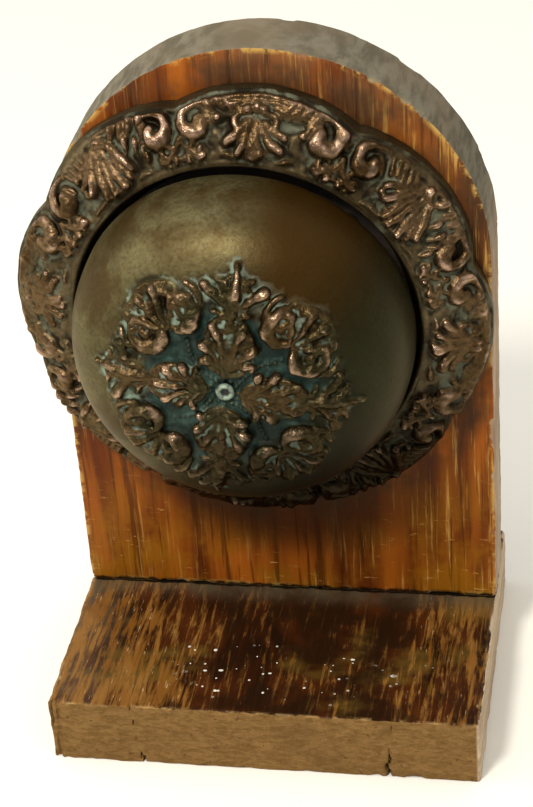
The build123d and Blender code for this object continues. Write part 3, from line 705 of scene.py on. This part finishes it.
def worn_slab(name, inset_outline, nearest, low, high, place, wear, dent, split):
    """A slab between two flat faces. Its edges are rounded by wear, and its sides pushed in by dent.

    inset_outline(d) gives the outline pulled in by d at each point; place turns an outline point and a
    height into a position; wear(face) gives each edge's rounding; dent(height) gives what a side has lost;
    split(height) is 1 inside a split in a side.
    """
    rows, edge_rows, side_rows, split_rows = [], [], [], []
    count = len(nearest)

    def row(inset, height, side):
        rows.append(place(inset_outline(inset), height + 0 * nearest))
        edge_rows.append(np.exp(-np.maximum(inset, 0) / 0.0016) + 0 * nearest)
        side_rows.append(side + 0 * nearest)
        split_rows.append(split(height) * (side > 0.5) + 0 * nearest)

    plan = corner_rounding(nearest, 1.4 * MM)
    for face, (near_level, sign) in enumerate(((low, 1), (high, -1))):
        radius = wear(face)
        lost = plan + dent(near_level + sign * radius)
        steps = [("flat", inset) for inset in (0.012, 0.007, 0.004, 0.0022)]
        steps += [("turn", turn) for turn in (0, 22, 45, 68, 90)]
        if face:
            steps = steps[::-1]
        for kind, value in steps:
            if kind == "flat":
                row(np.maximum(value, lost + radius * 1.02), near_level, 0.0)
            else:
                c, s = math.cos(math.radians(value)), math.sin(math.radians(value))
                row(lost + radius * (1 - s), near_level + sign * radius * (1 - c), s)
        if not face:
            bottom, top = radius, wear(1)
            for share in np.linspace(0, 1, int((high - low) / (1.1 * MM)) + 1)[1:-1]:
                level = low + bottom + share * (high - top - low - bottom)
                row(plan + dent(level), level, 1.0)
    layers = {
        "edge": np.concatenate(edge_rows),
        "side": np.concatenate(side_rows),
        "split": np.concatenate(split_rows),
    }
    return make_piece(name, np.concatenate(rows), capped(len(rows), count), layers, 50)


def make_plank():
    """The base: a rough-cut plank with rounded, chipped edges and two splits in its front end."""
    corners = [(plank_low.x, plank_low.y), (plank_high.x, plank_low.y), (plank_high.x, plank_high.y)]
    corners.append((plank_low.x, plank_high.y))
    outline, nearest = side_points(corners, 0.3 * MM)
    middle = np.array([(plank_low.x + plank_high.x) / 2, (plank_low.y + plank_high.y) / 2])
    half = np.array([plank_high.x - plank_low.x, plank_high.y - plank_low.y]) / 2
    x, y = outline[:, 0] / MM, outline[:, 1] / MM
    front = outline[:, 1] < plank_low.y + 0.1 * MM
    splits = [(plank_low.x + 0.215 * 2 * half[0], 4.2, 0.24), (plank_low.x + 0.785 * 2 * half[0], 8.0, 0.42)]

    def inset_outline(inset):
        limit = half - np.stack([inset + 0 * x] * 2, 1)
        return middle + np.clip(outline - middle, -limit, limit)

    def wear(face):
        chips = smooth_step(0.15, 0.9, cloud(x / 7, y / 7, 11.0 + 5 * face))
        return MM * (0.45 + 0.25 * cloud(x / 3, y / 3, 2.0 + face, 2) + (1.3 if face else 1.7) * chips)

    def dent(level):
        z = level / MM
        lost = 0.18 * cloud(x / 4, y / 4, z / 2.2) + 0.18
        corner = np.hypot(outline[:, 0] - plank_low.x, outline[:, 1] - plank_low.y)
        lost = lost + 1.5 * np.exp(-((corner / (3.2 * MM)) ** 2)) * smooth_step(-0.3, 0.6, cloud(x, y, z / 4))
        return MM * (np.maximum(lost, 0) + 1.6 * split(level))

    def split(level):
        z = level / MM
        found = 0.0
        for centre, tall, wide in splits:
            bend = 0.5 * np.sin(z * 1.3) + 0.1 * z * math.copysign(1, centre)
            gap = np.abs(outline[:, 0] / MM - centre / MM - bend)
            open_here = (1 - smooth_step(tall * 0.5, tall, z)) * wide
            found = np.maximum(found, np.exp(-((gap / np.maximum(open_here, 0.02)) ** 2)))
        return found * front

    def place(flat, level):
        return np.stack([flat[:, 0], flat[:, 1], level], 1)

    return worn_slab(
        "base_plank_worn", inset_outline, nearest, plank_low.z, plank_high.z, place, wear, dent, split
    )


def make_board():
    """The upright board, its arched top weathered and its front edge chipped."""
    half = (board_high.x - board_low.x) / 2
    base, top = board_low.z, board_high.z
    spring = base + spring_mm * MM
    rise = top - spring
    radius = (half**2 + rise**2) / (2 * rise)
    centre_z = top - radius
    bottom = np.linspace(-1, 1, 260, endpoint=False)
    side = np.linspace(0, 1, 240, endpoint=False)
    arc = np.linspace(1, -1, 330, endpoint=False)
    count = len(bottom) + 2 * len(side) + len(arc)
    kind = np.repeat([0, 1, 2, 3], [len(bottom), len(side), len(arc), len(side)])

    def inset_outline(inset):
        inset = inset + np.zeros(count)
        reach = half - inset
        turn = np.arcsin(np.clip(reach / (radius - inset), -1, 1))
        shoulder = centre_z + (radius - inset) * np.cos(turn)
        low = base + inset
        x, z = np.zeros(count), np.zeros(count)
        pick = kind == 0
        x[pick], z[pick] = bottom * reach[pick], low[pick]
        pick = kind == 1
        x[pick], z[pick] = reach[pick], low[pick] + side * (shoulder - low)[pick]
        pick = kind == 2
        angle = arc * turn[pick]
        x[pick] = (radius - inset[pick]) * np.sin(angle)
        z[pick] = centre_z + (radius - inset[pick]) * np.cos(angle)
        pick = kind == 3
        x[pick], z[pick] = -reach[pick], shoulder[pick] - side * (shoulder - low)[pick]
        return np.stack([x, z], 1)

    outline = inset_outline(0.0)
    x, z = outline[:, 0] / MM, outline[:, 1] / MM
    low_corners = np.hypot(np.abs(x) - half / MM, z - base / MM) * MM
    shoulders = np.hypot(np.abs(x) - half / MM, z - spring / MM) * MM
    nearest = np.minimum(low_corners, 3 * shoulders + 0.6 * MM)

    def wear(face):
        chips = smooth_step(0.2, 0.85, cloud(x / 6, z / 6, 21.0 + 5 * face))
        return MM * (0.4 + 0.2 * cloud(x / 3, z / 3, 4.0 + face, 2) + (1.2 if face else 1.5) * chips)

    def dent(level):
        lost = 0.12 + 0.12 * cloud(x / 5, z / 5, level / MM / 3)
        return MM * np.maximum(lost, 0) * (kind > 0)

    def split(level):
        return 0.0

    def place(flat, level):
        return np.stack([flat[:, 0], level, flat[:, 1]], 1)

    return worn_slab(
        "upright_board_worn", inset_outline, nearest, board_low.y, board_high.y, place, wear, dent, split
    )


# ---------------------------------------------------------------- materials


class Value:
    """A number that flows between a shader's nodes. It can be added, multiplied and so on."""

    def __init__(self, shader, socket):
        self.shader, self.socket = shader, socket

    def __add__(self, other):
        return self.shader.math("ADD", self, other)

    def __sub__(self, other):
        return self.shader.math("SUBTRACT", self, other)

    def __mul__(self, other):
        return self.shader.math("MULTIPLY", self, other)

    def __pow__(self, other):
        return self.shader.math("POWER", self, other)


class Shader:
    """A material whose nodes are made and linked one by one. Inputs are numbers, colours or values."""

    def __init__(self, name):
        self.material = bpy.data.materials.new(name)
        self.material.use_nodes = True
        self.tree = self.material.node_tree
        self.surface = self.tree.nodes["Principled BSDF"]
        self.place = Value(self, self.node("ShaderNodeTexCoord").outputs["Object"])

    def node(self, kind, inputs=None, **settings):
        made = self.tree.nodes.new(kind)
        for key, value in settings.items():
            setattr(made, key, value)
        for key, value in (inputs or {}).items():
            self.put(made.inputs[key], value)
        return made

    def put(self, socket, value):
        if isinstance(value, Value):
            self.tree.links.new(value.socket, socket)
        elif socket.type == "RGBA" and len(value) == 3:
            socket.default_value = (*value, 1)
        else:
            socket.default_value = value

    def set(self, **values):
        for key, value in values.items():
            self.put(self.surface.inputs[key.replace("_", " ")], value)

    def layer(self, name):
        """A mesh's own numbers."""
        return Value(self, self.node("ShaderNodeAttribute", attribute_name=name).outputs["Fac"])

    def axes(self):
        made = self.node("ShaderNodeSeparateXYZ", {0: self.place})
        return [Value(self, output) for output in made.outputs]

    def stretched(self, x, y, z, turn=(0, 0, 0)):
        """The place with each axis scaled, to draw out a pattern along the others."""
        inputs = {"Vector": self.place, "Scale": (x, y, z), "Rotation": turn}
        return Value(self, self.node("ShaderNodeMapping", inputs).outputs["Vector"])

    def noise(self, scale, detail=3.0, rough=0.55, at=None, bent=0.0):
        inputs = {"Vector": at or self.place, "Scale": scale, "Detail": detail}
        inputs |= {"Roughness": rough, "Distortion": bent}
        return Value(self, self.node("ShaderNodeTexNoise", inputs).outputs["Fac"])

    def fibres(self, stretch, detail, rough, bent=0.0, turn=(0, 0, 0)):
        """Noise drawn out along the axes that are stretched least."""
        return self.noise(1.0, detail, rough, at=self.stretched(*stretch, turn), bent=bent)

    def cells(self, scale, at=None):
        inputs = {"Vector": at or self.place, "Scale": scale}
        return Value(self, self.node("ShaderNodeTexVoronoi", inputs).outputs["Distance"])

    def part(self, value, low, high, start=0.0, end=1.0):
        """A value's share of a range, kept inside start and end."""
        inputs = {"Value": value, "From Min": low, "From Max": high, "To Min": start, "To Max": end}
        made = self.node("ShaderNodeMapRange", inputs, interpolation_type="SMOOTHSTEP")
        return Value(self, made.outputs["Result"])

    def patches(self, scale, detail, low, high, start=0.0, end=1.0):
        """Where noise rises from low to high."""
        return self.part(self.noise(scale, detail), low, high, start, end)

    def math(self, how, first, second):
        return Value(self, self.node("ShaderNodeMath", {0: first, 1: second}, operation=how).outputs[0])

    def blend(self, share, first, second):
        """A colour between two others."""
        inputs = {"Factor": share, 6: first, 7: second}
        return Value(self, self.node("ShaderNodeMix", inputs, data_type="RGBA").outputs[2])

    def between(self, share, first, second):
        """A number between two others."""
        inputs = {"Factor": share, 2: first, 3: second}
        return Value(self, self.node("ShaderNodeMix", inputs, data_type="FLOAT").outputs[0])

    def bump(self, height, distance_mm, strength=1.0, over=None):
        inputs = {"Height": height, "Distance": distance_mm * MM, "Strength": strength}
        if over is not None:
            inputs["Normal"] = over
        return Value(self, self.node("ShaderNodeBump", inputs).outputs["Normal"])


def patinated(s, ground_tones, raised_tones, rubbed_tone, mint, crust):
    """Old bronze: dusty ground, browner raised work rubbed on its tops, verdigris in the hollows, and painted
    shade, with some grime, darkening the deepest hollows.
    """
    hollow = s.layer("hollow")
    relief = s.layer("relief")
    broad = s.part(s.noise(60, 4, 0.6, bent=0.4), 0.35, 0.68)
    raised = s.part(relief, 0.4, 1.2)
    skin = s.blend(raised, s.blend(broad, *ground_tones), s.blend(broad, *raised_tones))
    skin = s.blend(s.part(s.noise(900, 3, 0.6), 0.35, 0.75, 0.0, 0.5), skin, (0.02, 0.012, 0.005))
    high = s.part(hollow, -0.35, -1.25) * raised
    rubbed = high * s.patches(170, 3, 0.42, 0.66)
    skin = s.blend(rubbed, skin, rubbed_tone)
    deep = s.part(hollow + s.patches(420, 3, 0.3, 0.7, -0.3, 0.3), 0.2, 0.75)
    growth = deep * s.part(s.noise(120, 3, 0.6), 0.42, 0.62) * crust
    # Painted shade, with some grime: the deepest hollows are painted near-black.
    skin = s.blend(s.part(hollow, 0.0, 0.6, 0.0, 0.92), skin, (0.006, 0.004, 0.002))
    skin = s.blend(growth, skin, mint)
    metal = s.between(growth, s.part(raised, 0.0, 1.0, 0.6, 0.88), 0.0)
    rough = s.between(raised, s.part(broad, 0.0, 1.0, 0.41, 0.49), 0.31)
    grain = s.bump(s.noise(1500, 2), 0.05, 0.5)
    lumps = s.noise(620, 3, 0.7) * s.part(raised, 0.0, 1.0, 0.3, 1.3)
    s.set(Normal=s.bump(lumps, 0.36, 0.8, grain))
    s.set(Specular_IOR_Level=0.25, Specular_Tint=(0.88, 0.76, 0.56))
    return skin, metal, s.between(growth, s.between(rubbed, rough, 0.22), 0.85)


def shaded_below(s, skin, start, end, most):
    """A colour darkened by painted shade between two heights, most at the lower one and more towards the
    right.
    """
    x, _, z = s.axes()
    # Painted shade: darker towards the bottom and towards the right.
    painted_shade = s.part(z, start, end, 0.0, most) * s.part(x, axis_x - 0.05, axis_x + 0.01, 0.3, 1.0)
    return s.blend(painted_shade, skin, (0.008, 0.006, 0.003))


def plate_bronze():
    s = Shader("plate_bronze")
    ground = (0.060, 0.041, 0.018), (0.135, 0.100, 0.050)
    raised = (0.064, 0.036, 0.014), (0.140, 0.086, 0.043)
    skin, metal, rough = patinated(s, ground, raised, (0.46, 0.30, 0.21), (0.20, 0.21, 0.14), 0.5)
    # Painted shade: the inner wall under the lip and the skirt's outer wall, where band is 0, are painted
    # darker.
    skin = s.blend(s.part(s.layer("band"), 0.9, 0.3, 0.0, 0.45), skin, (0.010, 0.007, 0.003))
    # Painted shade on the plate's lower part, more on its right.
    skin = shaded_below(s, skin, axis_z - 0.005, axis_z - 0.045, 0.93)
    s.set(Base_Color=skin, Metallic=metal, Roughness=rough)
    return s.material


def gong_bronze():
    """The gong's bronze, with teal ground between the crown's leaves, brown stains on the dome, and painted
    shade on the dome's right side and lower part.
    """
    s = Shader("gong_bronze")
    x, _, z = s.axes()
    plain = (0.084, 0.072, 0.030), (0.136, 0.114, 0.050)
    raised = (0.034, 0.031, 0.014), (0.092, 0.056, 0.025)
    skin, metal, rough = patinated(s, plain, raised, (0.44, 0.29, 0.19), (0.26, 0.34, 0.26), 0.85)
    relief = s.layer("relief")
    bare = s.layer("ground") * s.part(relief, 0.8, 0.1)
    tone = s.part(s.noise(170, 4, 0.65), 0.4, 0.75)
    teal = s.blend(tone, (0.003, 0.016, 0.016), (0.045, 0.095, 0.080))
    # Painted shade, partly stain: the dome's right side is painted darker, dark brown above and near-black
    # green towards its lower right. The random blotches are stains.
    right_shade_and_stain = s.part(x, axis_x - 0.004, axis_x + 0.016, 0.0, 0.95)
    right_shade_and_stain = right_shade_and_stain * s.part(x, axis_x + 0.042, axis_x + 0.030, 0.85, 1.0)
    blotches = s.part(s.noise(40, 4, 0.65, bent=0.6), 0.46, 0.62, 0.0, 0.7)
    stain = s.math("MAXIMUM", right_shade_and_stain, blotches)
    lower = s.part(z - x * 0.7, axis_z + 0.020, axis_z - 0.012)
    stain_and_shade_tone = s.blend(lower, (0.040, 0.017, 0.001), (0.009, 0.010, 0.003))
    skin = s.blend(stain * s.part(relief, 0.9, 0.1, 0.35, 1.0), skin, stain_and_shade_tone)
    skin = s.blend(bare * 0.94, skin, teal)
    # Painted shade on the gong's lower part, more on its right.
    skin = shaded_below(s, skin, axis_z + 0.004, axis_z - 0.036, 0.92)
    s.set(Base_Color=skin)
    s.set(Roughness=s.between(bare, rough, 0.6), Metallic=s.between(bare, metal, 0.2))
    return s.material


def screw_bronze():
    """The gong's screw: pale verdigris on the ring, and painted shade in its pit."""
    s = Shader("screw_bronze")
    x, _, z = s.axes()
    radius = ((x - axis_x) ** 2.0 + (z - axis_z) ** 2.0) ** 0.5
    tone = s.part(s.noise(700, 3, 0.6), 0.35, 0.6)
    ring = s.blend(tone, (0.06, 0.07, 0.045), (0.24, 0.30, 0.235))
    # Painted shade: the pit inside the ring is painted near-black.
    s.set(Base_Color=s.blend(s.part(radius, 0.0009, 0.0013), (0.008, 0.010, 0.008), ring))
    s.set(Metallic=0.2, Roughness=0.5)
    s.set(Normal=s.bump(s.noise(900, 3), 0.08, 0.6))
    return s.material


SHELLAC_SHINE = {"Specular_IOR_Level": 0.2, "Specular_Tint": (1.0, 0.85, 0.6)}


def board_wood():
    """Orange-brown shellac, worn through in streaks down the grain, on a board weathered at its edges, with
    painted shade round and below the plate and along the foot.
    """
    s = Shader("board_wood")
    x, y, z = s.axes()
    edge, side = s.layer("edge"), s.layer("side")
    grain = s.fibres((520, 120, 22), 5, 0.65, 0.4)
    wide = s.fibres((110, 60, 9), 3, 0.5, 0.3)
    blotch = s.noise(45, 4, 0.62)
    low = s.part(z, 0.075, 0.026)
    high = s.part(z, 0.125, 0.165)
    in_front = s.part(y, board_low.y + 0.004, board_low.y + 0.002)

    finish = s.blend(s.part(wide, 0.34, 0.64), (0.085, 0.014, 0.0015), (0.33, 0.085, 0.006))
    finish = s.blend(high * s.part(blotch, 0.38, 0.6) * 0.8, finish, (0.23, 0.095, 0.036))
    finish = s.blend(low * s.part(blotch, 0.38, 0.58) * 0.85, finish, (0.25, 0.094, 0.004))
    upper_right = s.part(x, 0.022, 0.050) * s.part(z, 0.105, 0.125) * 0.6
    finish = s.blend(upper_right, finish, (0.075, 0.030, 0.010))
    finish = s.blend(s.part(grain, 0.48, 0.34, 0.0, 0.75), finish, (0.050, 0.011, 0.002))
    fine = s.fibres((900, 200, 34), 4, 0.7)
    rubbed = s.part(fine, 0.53, 0.66) * s.patches(50, 3, 0.34, 0.56)
    finish = s.blend(rubbed * s.part(x, -0.02, 0.03, 0.45, 1.0) * 0.9, finish, (0.50, 0.27, 0.065))
    across = s.fibres((240, 300, 1200), 3, 0.6)
    nicks = s.part(across, 0.64, 0.7) * low * s.patches(80, 2, 0.45, 0.6)
    finish = s.blend(nicks * 0.8, finish, (0.55, 0.33, 0.09))

    # Painted shadow of the plate, partly a dark stain: a dark patch on the board's front below the plate.
    around_x = ((x - (axis_x + 0.007)) * (1 / 0.040)) ** 2.0
    around_z = ((z - (axis_z - 0.062)) * (1 / 0.022)) ** 2.0
    plate_shadow_and_stain = s.part(around_x + around_z, 1.2, 0.15, 0.0, 0.9)
    finish = s.blend(plate_shadow_and_stain * in_front, finish, (0.030, 0.006, 0.001))
    # Painted shade: the board's front is darkened in blotches in a ring just outside the plate's edge.
    from_axis = ((x - axis_x) * (1 / 0.069)) ** 2.0
    above_axis = ((z - axis_z) * (1 / 0.069)) ** 2.0
    shade_round_plate = s.part(from_axis + above_axis, 1.15, 0.95) * in_front
    finish = s.blend(shade_round_plate * s.part(blotch, 0.35, 0.6) * 0.8, finish, (0.030, 0.012, 0.005))

    sawn = s.part(s.fibres((500, 160, 60), 4, 0.6), 0.3, 0.7)
    raw = s.blend(sawn, (0.30, 0.20, 0.125), (0.48, 0.36, 0.25))
    diagonal = s.fibres((90, 90, 500), 3, 0.6, 0.3, turn=(0, 0.35, 0.9))
    grey = s.blend(s.part(diagonal, 0.36, 0.64), (0.105, 0.091, 0.062), (0.185, 0.162, 0.116))
    grey = s.blend(s.patches(30, 3, 0.45, 0.65, 0.0, 0.5), grey, (0.18, 0.130, 0.082))
    raw = s.blend(s.part(z, 0.118, 0.150), raw, grey)
    bare = s.part(side + s.patches(260, 3, 0.35, 0.65, -0.2, 0.2), 0.35, 0.7)
    colour = s.blend(bare, finish, raw)
    chips = s.part(edge, 0.3, 0.8) * s.part(s.noise(130, 4, 0.7), 0.48, 0.58) * s.part(side, 0.9, 0.3)
    colour = s.blend(chips * 0.9, colour, (0.50, 0.30, 0.075))
    # Painted shade, with some dirt: a ragged near-black line along the foot of the board's faces, where they
    # meet the plank.
    foot = s.part(z + s.noise(350, 3) * 0.0024, 0.0222, 0.0212)
    colour = s.blend(foot * s.part(side, 0.5, 0.1), colour, (0.010, 0.005, 0.002))

    s.set(Base_Color=colour)
    s.set(Roughness=s.between(bare, s.part(grain, 0.3, 0.7, 0.38, 0.52), 0.85))
    s.set(**SHELLAC_SHINE)
    ridges = s.bump(grain, 0.25, 0.6)
    s.set(Normal=s.bump(s.noise(700, 3), 0.06, 0.5, ridges))
    return s.material


def plank_wood():
    """A dark stain rubbed through to orange grain, bare wood on the ends, a few drips of white paint, and
    painted shade at the joint with the board and in the splits.
    """
    s = Shader("base_wood")
    x, y, z = s.axes()
    edge, side, split = s.layer("edge"), s.layer("side"), s.layer("split")
    grain = s.fibres((620, 60, 120), 5, 0.68, 0.5)
    wide = s.fibres((90, 28, 40), 3, 0.55, 0.5)
    blotch = s.noise(42, 4, 0.65)

    finish = s.blend(s.part(wide, 0.36, 0.66), (0.010, 0.003, 0.001), (0.058, 0.013, 0.002))
    olive = s.part(s.noise(36, 3, at=s.stretched(1, 1.4, 1)), 0.54, 0.66, 0.0, 0.7)
    finish = s.blend(olive, finish, (0.105, 0.060, 0.010))
    worn_left = s.part(x, 0.000, -0.052)
    worn_right = s.part(x, 0.030, 0.050, 0.0, 0.55)
    worn = s.math("MAXIMUM", worn_left, worn_right) + s.part(blotch, 0.3, 0.7, -0.4, 0.4)
    aged = s.part(x, -0.040, -0.058) * s.part(blotch, 0.3, 0.6) * 0.6
    finish = s.blend(aged, finish, (0.120, 0.088, 0.050))
    bruised = s.part(s.noise(30, 3, 0.6), 0.40, 0.52) * s.part(worn, 0.45, -0.05) * 0.9
    finish = s.blend(bruised, finish, (0.014, 0.005, 0.0015))
    rubbed = s.part(grain + worn * 0.15, 0.54, 0.72) * s.part(bruised, 0.0, 1.0, 0.9, 0.25)
    streaks = s.blend(s.part(wide, 0.3, 0.7), (0.17, 0.060, 0.006), (0.27, 0.128, 0.028))
    finish = s.blend(rubbed, finish, streaks)
    scuffs = s.part(s.fibres((1000, 130, 100), 3, 0.7), 0.62, 0.70)
    finish = s.blend(scuffs * s.part(worn, 0.0, 0.8) * 0.85, finish, (0.40, 0.26, 0.12))
    dusty = s.part(y, board_low.y - 0.010, board_low.y - 0.001) * s.patches(90, 3, 0.3, 0.6, 0.2, 0.7)
    finish = s.blend(dusty, finish, (0.085, 0.066, 0.038))
    # Painted shade, with some dirt: near-black from just behind the board's front face, showing as a ragged
    # line at the joint.
    seam = s.part(y + s.noise(300, 3) * 0.002, board_low.y + 0.0002, board_low.y + 0.0007)
    finish = s.blend(seam, finish, (0.006, 0.004, 0.002))

    dull = s.fibres((330, 300, 900), 5, 0.75, 0.4, turn=(0, 0.2, 0))
    ends = s.blend(s.part(dull, 0.3, 0.72), (0.125, 0.063, 0.016), (0.235, 0.130, 0.044))
    ends = s.blend(s.part(s.noise(60, 4, 0.6), 0.5, 0.75, 0.0, 0.35), ends, (0.10, 0.050, 0.015))
    ends = s.blend(s.patches(520, 2, 0.66, 0.72, 0.0, 0.6), ends, (0.07, 0.03, 0.01))
    sawn = s.part(s.fibres((300, 24, 300), 4, 0.6), 0.3, 0.7)
    pale = s.blend(sawn, (0.40, 0.29, 0.19), (0.60, 0.47, 0.33))
    ends = s.blend(s.part(x, plank_high.x - 0.0014, plank_high.x - 0.0006), ends, pale)
    bare = s.part(side + s.patches(240, 3, 0.35, 0.65, -0.2, 0.2), 0.4, 0.7)
    colour = s.blend(bare, finish, ends)
    chips = s.part(edge, 0.4, 0.85) * s.part(s.noise(140, 4, 0.7), 0.45, 0.58) * s.part(side, 0.95, 0.4)
    colour = s.blend(chips * 0.8, colour, (0.42, 0.26, 0.10))
    # Painted shade: the splits in the front end are painted near-black inside.
    colour = s.blend(split, colour, (0.012, 0.006, 0.003))

    in_x = s.part(x, -0.034, -0.018) * s.part(x, 0.040, 0.006, 0.25, 1.0)
    in_y = s.part(y, -0.043, -0.032) * s.part(y, -0.012, -0.022)
    splashed = s.part(in_x * in_y + s.patches(90, 3, 0.3, 0.7, -0.35, 0.35), 0.3, 0.7)
    drops = s.noise(260, 2) * 0.9 - s.cells(420, at=s.stretched(1, 1, 0))
    splashes = s.noise(110, 2) * 0.6 - s.cells(150, at=s.stretched(1, 1.6, 0))
    spots = s.math("MAXIMUM", s.part(drops, 0.34, 0.37), s.part(splashes, 0.19, 0.21))
    paint = spots * splashed * s.part(z, plank_high.z - 0.0006, plank_high.z - 0.0003)
    colour = s.blend(paint, colour, (0.72, 0.70, 0.60))

    s.set(Base_Color=colour)
    s.set(Roughness=s.between(bare, s.part(grain, 0.3, 0.7, 0.36, 0.56), 0.88))
    s.set(**SHELLAC_SHINE)
    ridges = s.bump(grain, 0.3, 0.6)
    s.set(Normal=s.bump(s.noise(600, 3) + paint * 2.0, 0.08, 0.6, ridges))
    return s.material


def plain_metal(name, colour, dark, rough, metal=1.0, pits=0.06, stain=60):
    """A metal with stains, fine scratches and some pitting."""
    s = Shader(name)
    tone = s.part(s.noise(stain, 4, 0.6, bent=0.3), 0.35, 0.7)
    scratches = s.fibres((2400, 300, 300), 3, 0.6)
    s.set(Base_Color=s.blend(tone * 0.8, colour, dark), Metallic=metal)
    s.set(Roughness=s.part(tone * 0.5 + scratches * 0.5, 0.2, 0.8, rough, rough + 0.22))
    fine = s.bump(scratches, 0.02, 0.4)
    s.set(Normal=s.bump(s.noise(520, 4, 0.7), pits, 0.6, fine))
    return s.material


def key_bronze():
    """The key's bronze, rubbed bright where fingers turn it."""
    s = Shader("key_bronze")
    y = s.axes()[1]
    back = board_high.y
    broad = s.noise(70, 4, 0.6, bent=0.3)
    skin = s.blend(s.part(broad, 0.35, 0.68), (0.085, 0.055, 0.028), (0.19, 0.125, 0.065))
    handled = s.part(y, back + 0.012, back + 0.024) * s.patches(110, 3, 0.3, 0.62)
    skin = s.blend(handled * 0.75, skin, (0.46, 0.29, 0.16))
    growth = s.part(s.noise(150, 4, 0.65), 0.58, 0.7) * s.part(y, back + 0.012, back + 0.004)
    skin = s.blend(growth * 0.7, skin, (0.24, 0.33, 0.27))
    s.set(Base_Color=skin, Metallic=s.between(growth, 0.85, 0.2))
    s.set(Roughness=s.between(handled, s.part(broad, 0.3, 0.7, 0.42, 0.58), 0.3))
    s.set(Normal=s.bump(s.noise(480, 4, 0.65), 0.1, 0.6))
    return s.material


def washer_leather():
    """Dark leather with pores."""
    s = Shader("leather")
    s.set(Base_Color=s.blend(s.patches(300, 4, 0.3, 0.7), (0.10, 0.045, 0.02), (0.22, 0.11, 0.05)))
    s.set(Roughness=s.patches(500, 3, 0.3, 0.7, 0.6, 0.85))
    s.set(Normal=s.bump(s.cells(1500), 0.08, 0.7))
    return s.material


def floor_paper():
    s = Shader("pale_paper")
    s.set(Base_Color=s.blend(s.noise(9, 2), (0.89, 0.875, 0.815), (0.91, 0.895, 0.835)))
    s.set(Roughness=0.8)
    return s.material


# ---------------------------------------------------------------- put together

finishes = {
    "base_wood": plank_wood(),
    "board_wood": board_wood(),
    "plate_bronze": plate_bronze(),
    "gong_bronze": gong_bronze(),
    "screw_bronze": screw_bronze(),
    "key_bronze": key_bronze(),
    "brass": plain_metal("brass", (0.50, 0.35, 0.13), (0.20, 0.13, 0.05), 0.32),
    "steel": plain_metal("steel", (0.34, 0.33, 0.31), (0.13, 0.10, 0.08), 0.34),
    "hammer_steel": plain_metal("hammer_steel", (0.30, 0.29, 0.27), (0.10, 0.08, 0.06), 0.38),
    "cast_iron": plain_metal("cast_iron", (0.045, 0.043, 0.040), (0.075, 0.045, 0.028), 0.55, 0.7, 0.2, 90),
    "leather": washer_leather(),
}
for subpart in frame["record"]["subparts"]:
    node = frame["nodes"][subpart["node"]]
    node.data.materials.clear()
    node.data.materials.append(finishes[subpart["material_slot"]])

stand_pieces = (
    (make_plank, "base_plank", "base_wood", "base_wood"),
    (make_board, "upright_board", "board_wood", "board_wood"),
    (make_plate, "ornate_plate", "plate_bronze", "plate_bronze"),
    (make_gong, "gong", "gong_bronze", "gong_bronze"),
    (make_crown_screw, "gong_screw", "gong_bronze", "screw_bronze"),
)
for make, node_name, slot_name, finish_name in stand_pieces:
    piece = make()
    piece.data.materials.append(finishes[finish_name])
    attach(piece, "stand")
    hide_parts(node_name)


def make_floor():
    """A pale sheet that the stand rests on."""
    half = 8.0
    corners = np.array([(-half, -half, 0), (half, -half, 0), (half, half, 0), (-half, half, 0)])
    floor = make_piece("floor", corners, [(0, 1, 2, 3)])
    floor.data.materials.append(floor_paper())


def make_light(name, place, target, size, watts, colour):
    lamp = bpy.data.lights.new(name, "AREA")
    lamp.shape, lamp.size, lamp.energy, lamp.color = "DISK", size, watts, colour
    obj = bpy.data.objects.new(name, lamp)
    obj.location = place
    obj.rotation_euler = (Vector(target) - Vector(place)).to_track_quat("-Z", "Y").to_euler()
    bpy.context.scene.collection.objects.link(obj)


def make_world():
    """A white room: bright above, dimmer at eye level."""
    world = bpy.data.worlds.new("room")
    bpy.context.scene.world = world
    world.use_nodes = True
    tree = world.node_tree
    place = tree.nodes.new("ShaderNodeTexCoord")
    split = tree.nodes.new("ShaderNodeSeparateXYZ")
    ramp = tree.nodes.new("ShaderNodeValToRGB")
    tree.links.new(place.outputs["Generated"], split.inputs[0])
    tree.links.new(split.outputs["Z"], ramp.inputs["Fac"])
    tree.links.new(ramp.outputs["Color"], tree.nodes["Background"].inputs["Color"])
    ramp.color_ramp.elements[0].color = (0.16, 0.152, 0.135, 1)
    ramp.color_ramp.elements[1].color = (1.0, 0.98, 0.93, 1)
    ramp.color_ramp.elements[0].position = 0.08
    ramp.color_ramp.elements[1].position = 0.82
    tree.nodes["Background"].inputs["Strength"].default_value = 1.06


def make_camera():
    """A camera at the height, distance and slight tilt from which the object was seen."""
    azimuth, elevation, roll = 0.20105, 0.56569, -0.07575
    target = Vector((0.00827, -0.045, 0.11878))
    distance = 0.56233
    back = Vector(
        (
            math.sin(azimuth) * math.cos(elevation),
            -math.cos(azimuth) * math.cos(elevation),
            math.sin(elevation),
        )
    )
    level = Vector((math.cos(azimuth), math.sin(azimuth), 0))
    up = back.cross(level)
    right = math.cos(roll) * level + math.sin(roll) * up
    up = back.cross(right)
    data = bpy.data.cameras.new("camera")
    data.sensor_width = 36.0
    data.lens = 102.88
    data.clip_start, data.clip_end = 0.01, 20.0
    camera = bpy.data.objects.new("camera", data)
    bpy.context.scene.collection.objects.link(camera)
    camera.rotation_mode = "QUATERNION"
    camera.rotation_quaternion = Matrix((right, up, back)).transposed().to_quaternion()
    camera.location = target + back * distance
    bpy.context.scene.camera = camera


make_floor()
make_world()
middle = (axis_x, board_face, axis_z)
make_light("key", (-0.26, -0.66, 0.97), middle, 0.22, 9.5, (1.0, 0.96, 0.88))
make_light("fill", (-0.9, -0.1, 0.5), middle, 0.7, 3.0, (1.0, 0.96, 0.88))
make_camera()
bpy.context.scene.view_settings.view_transform = "Standard"
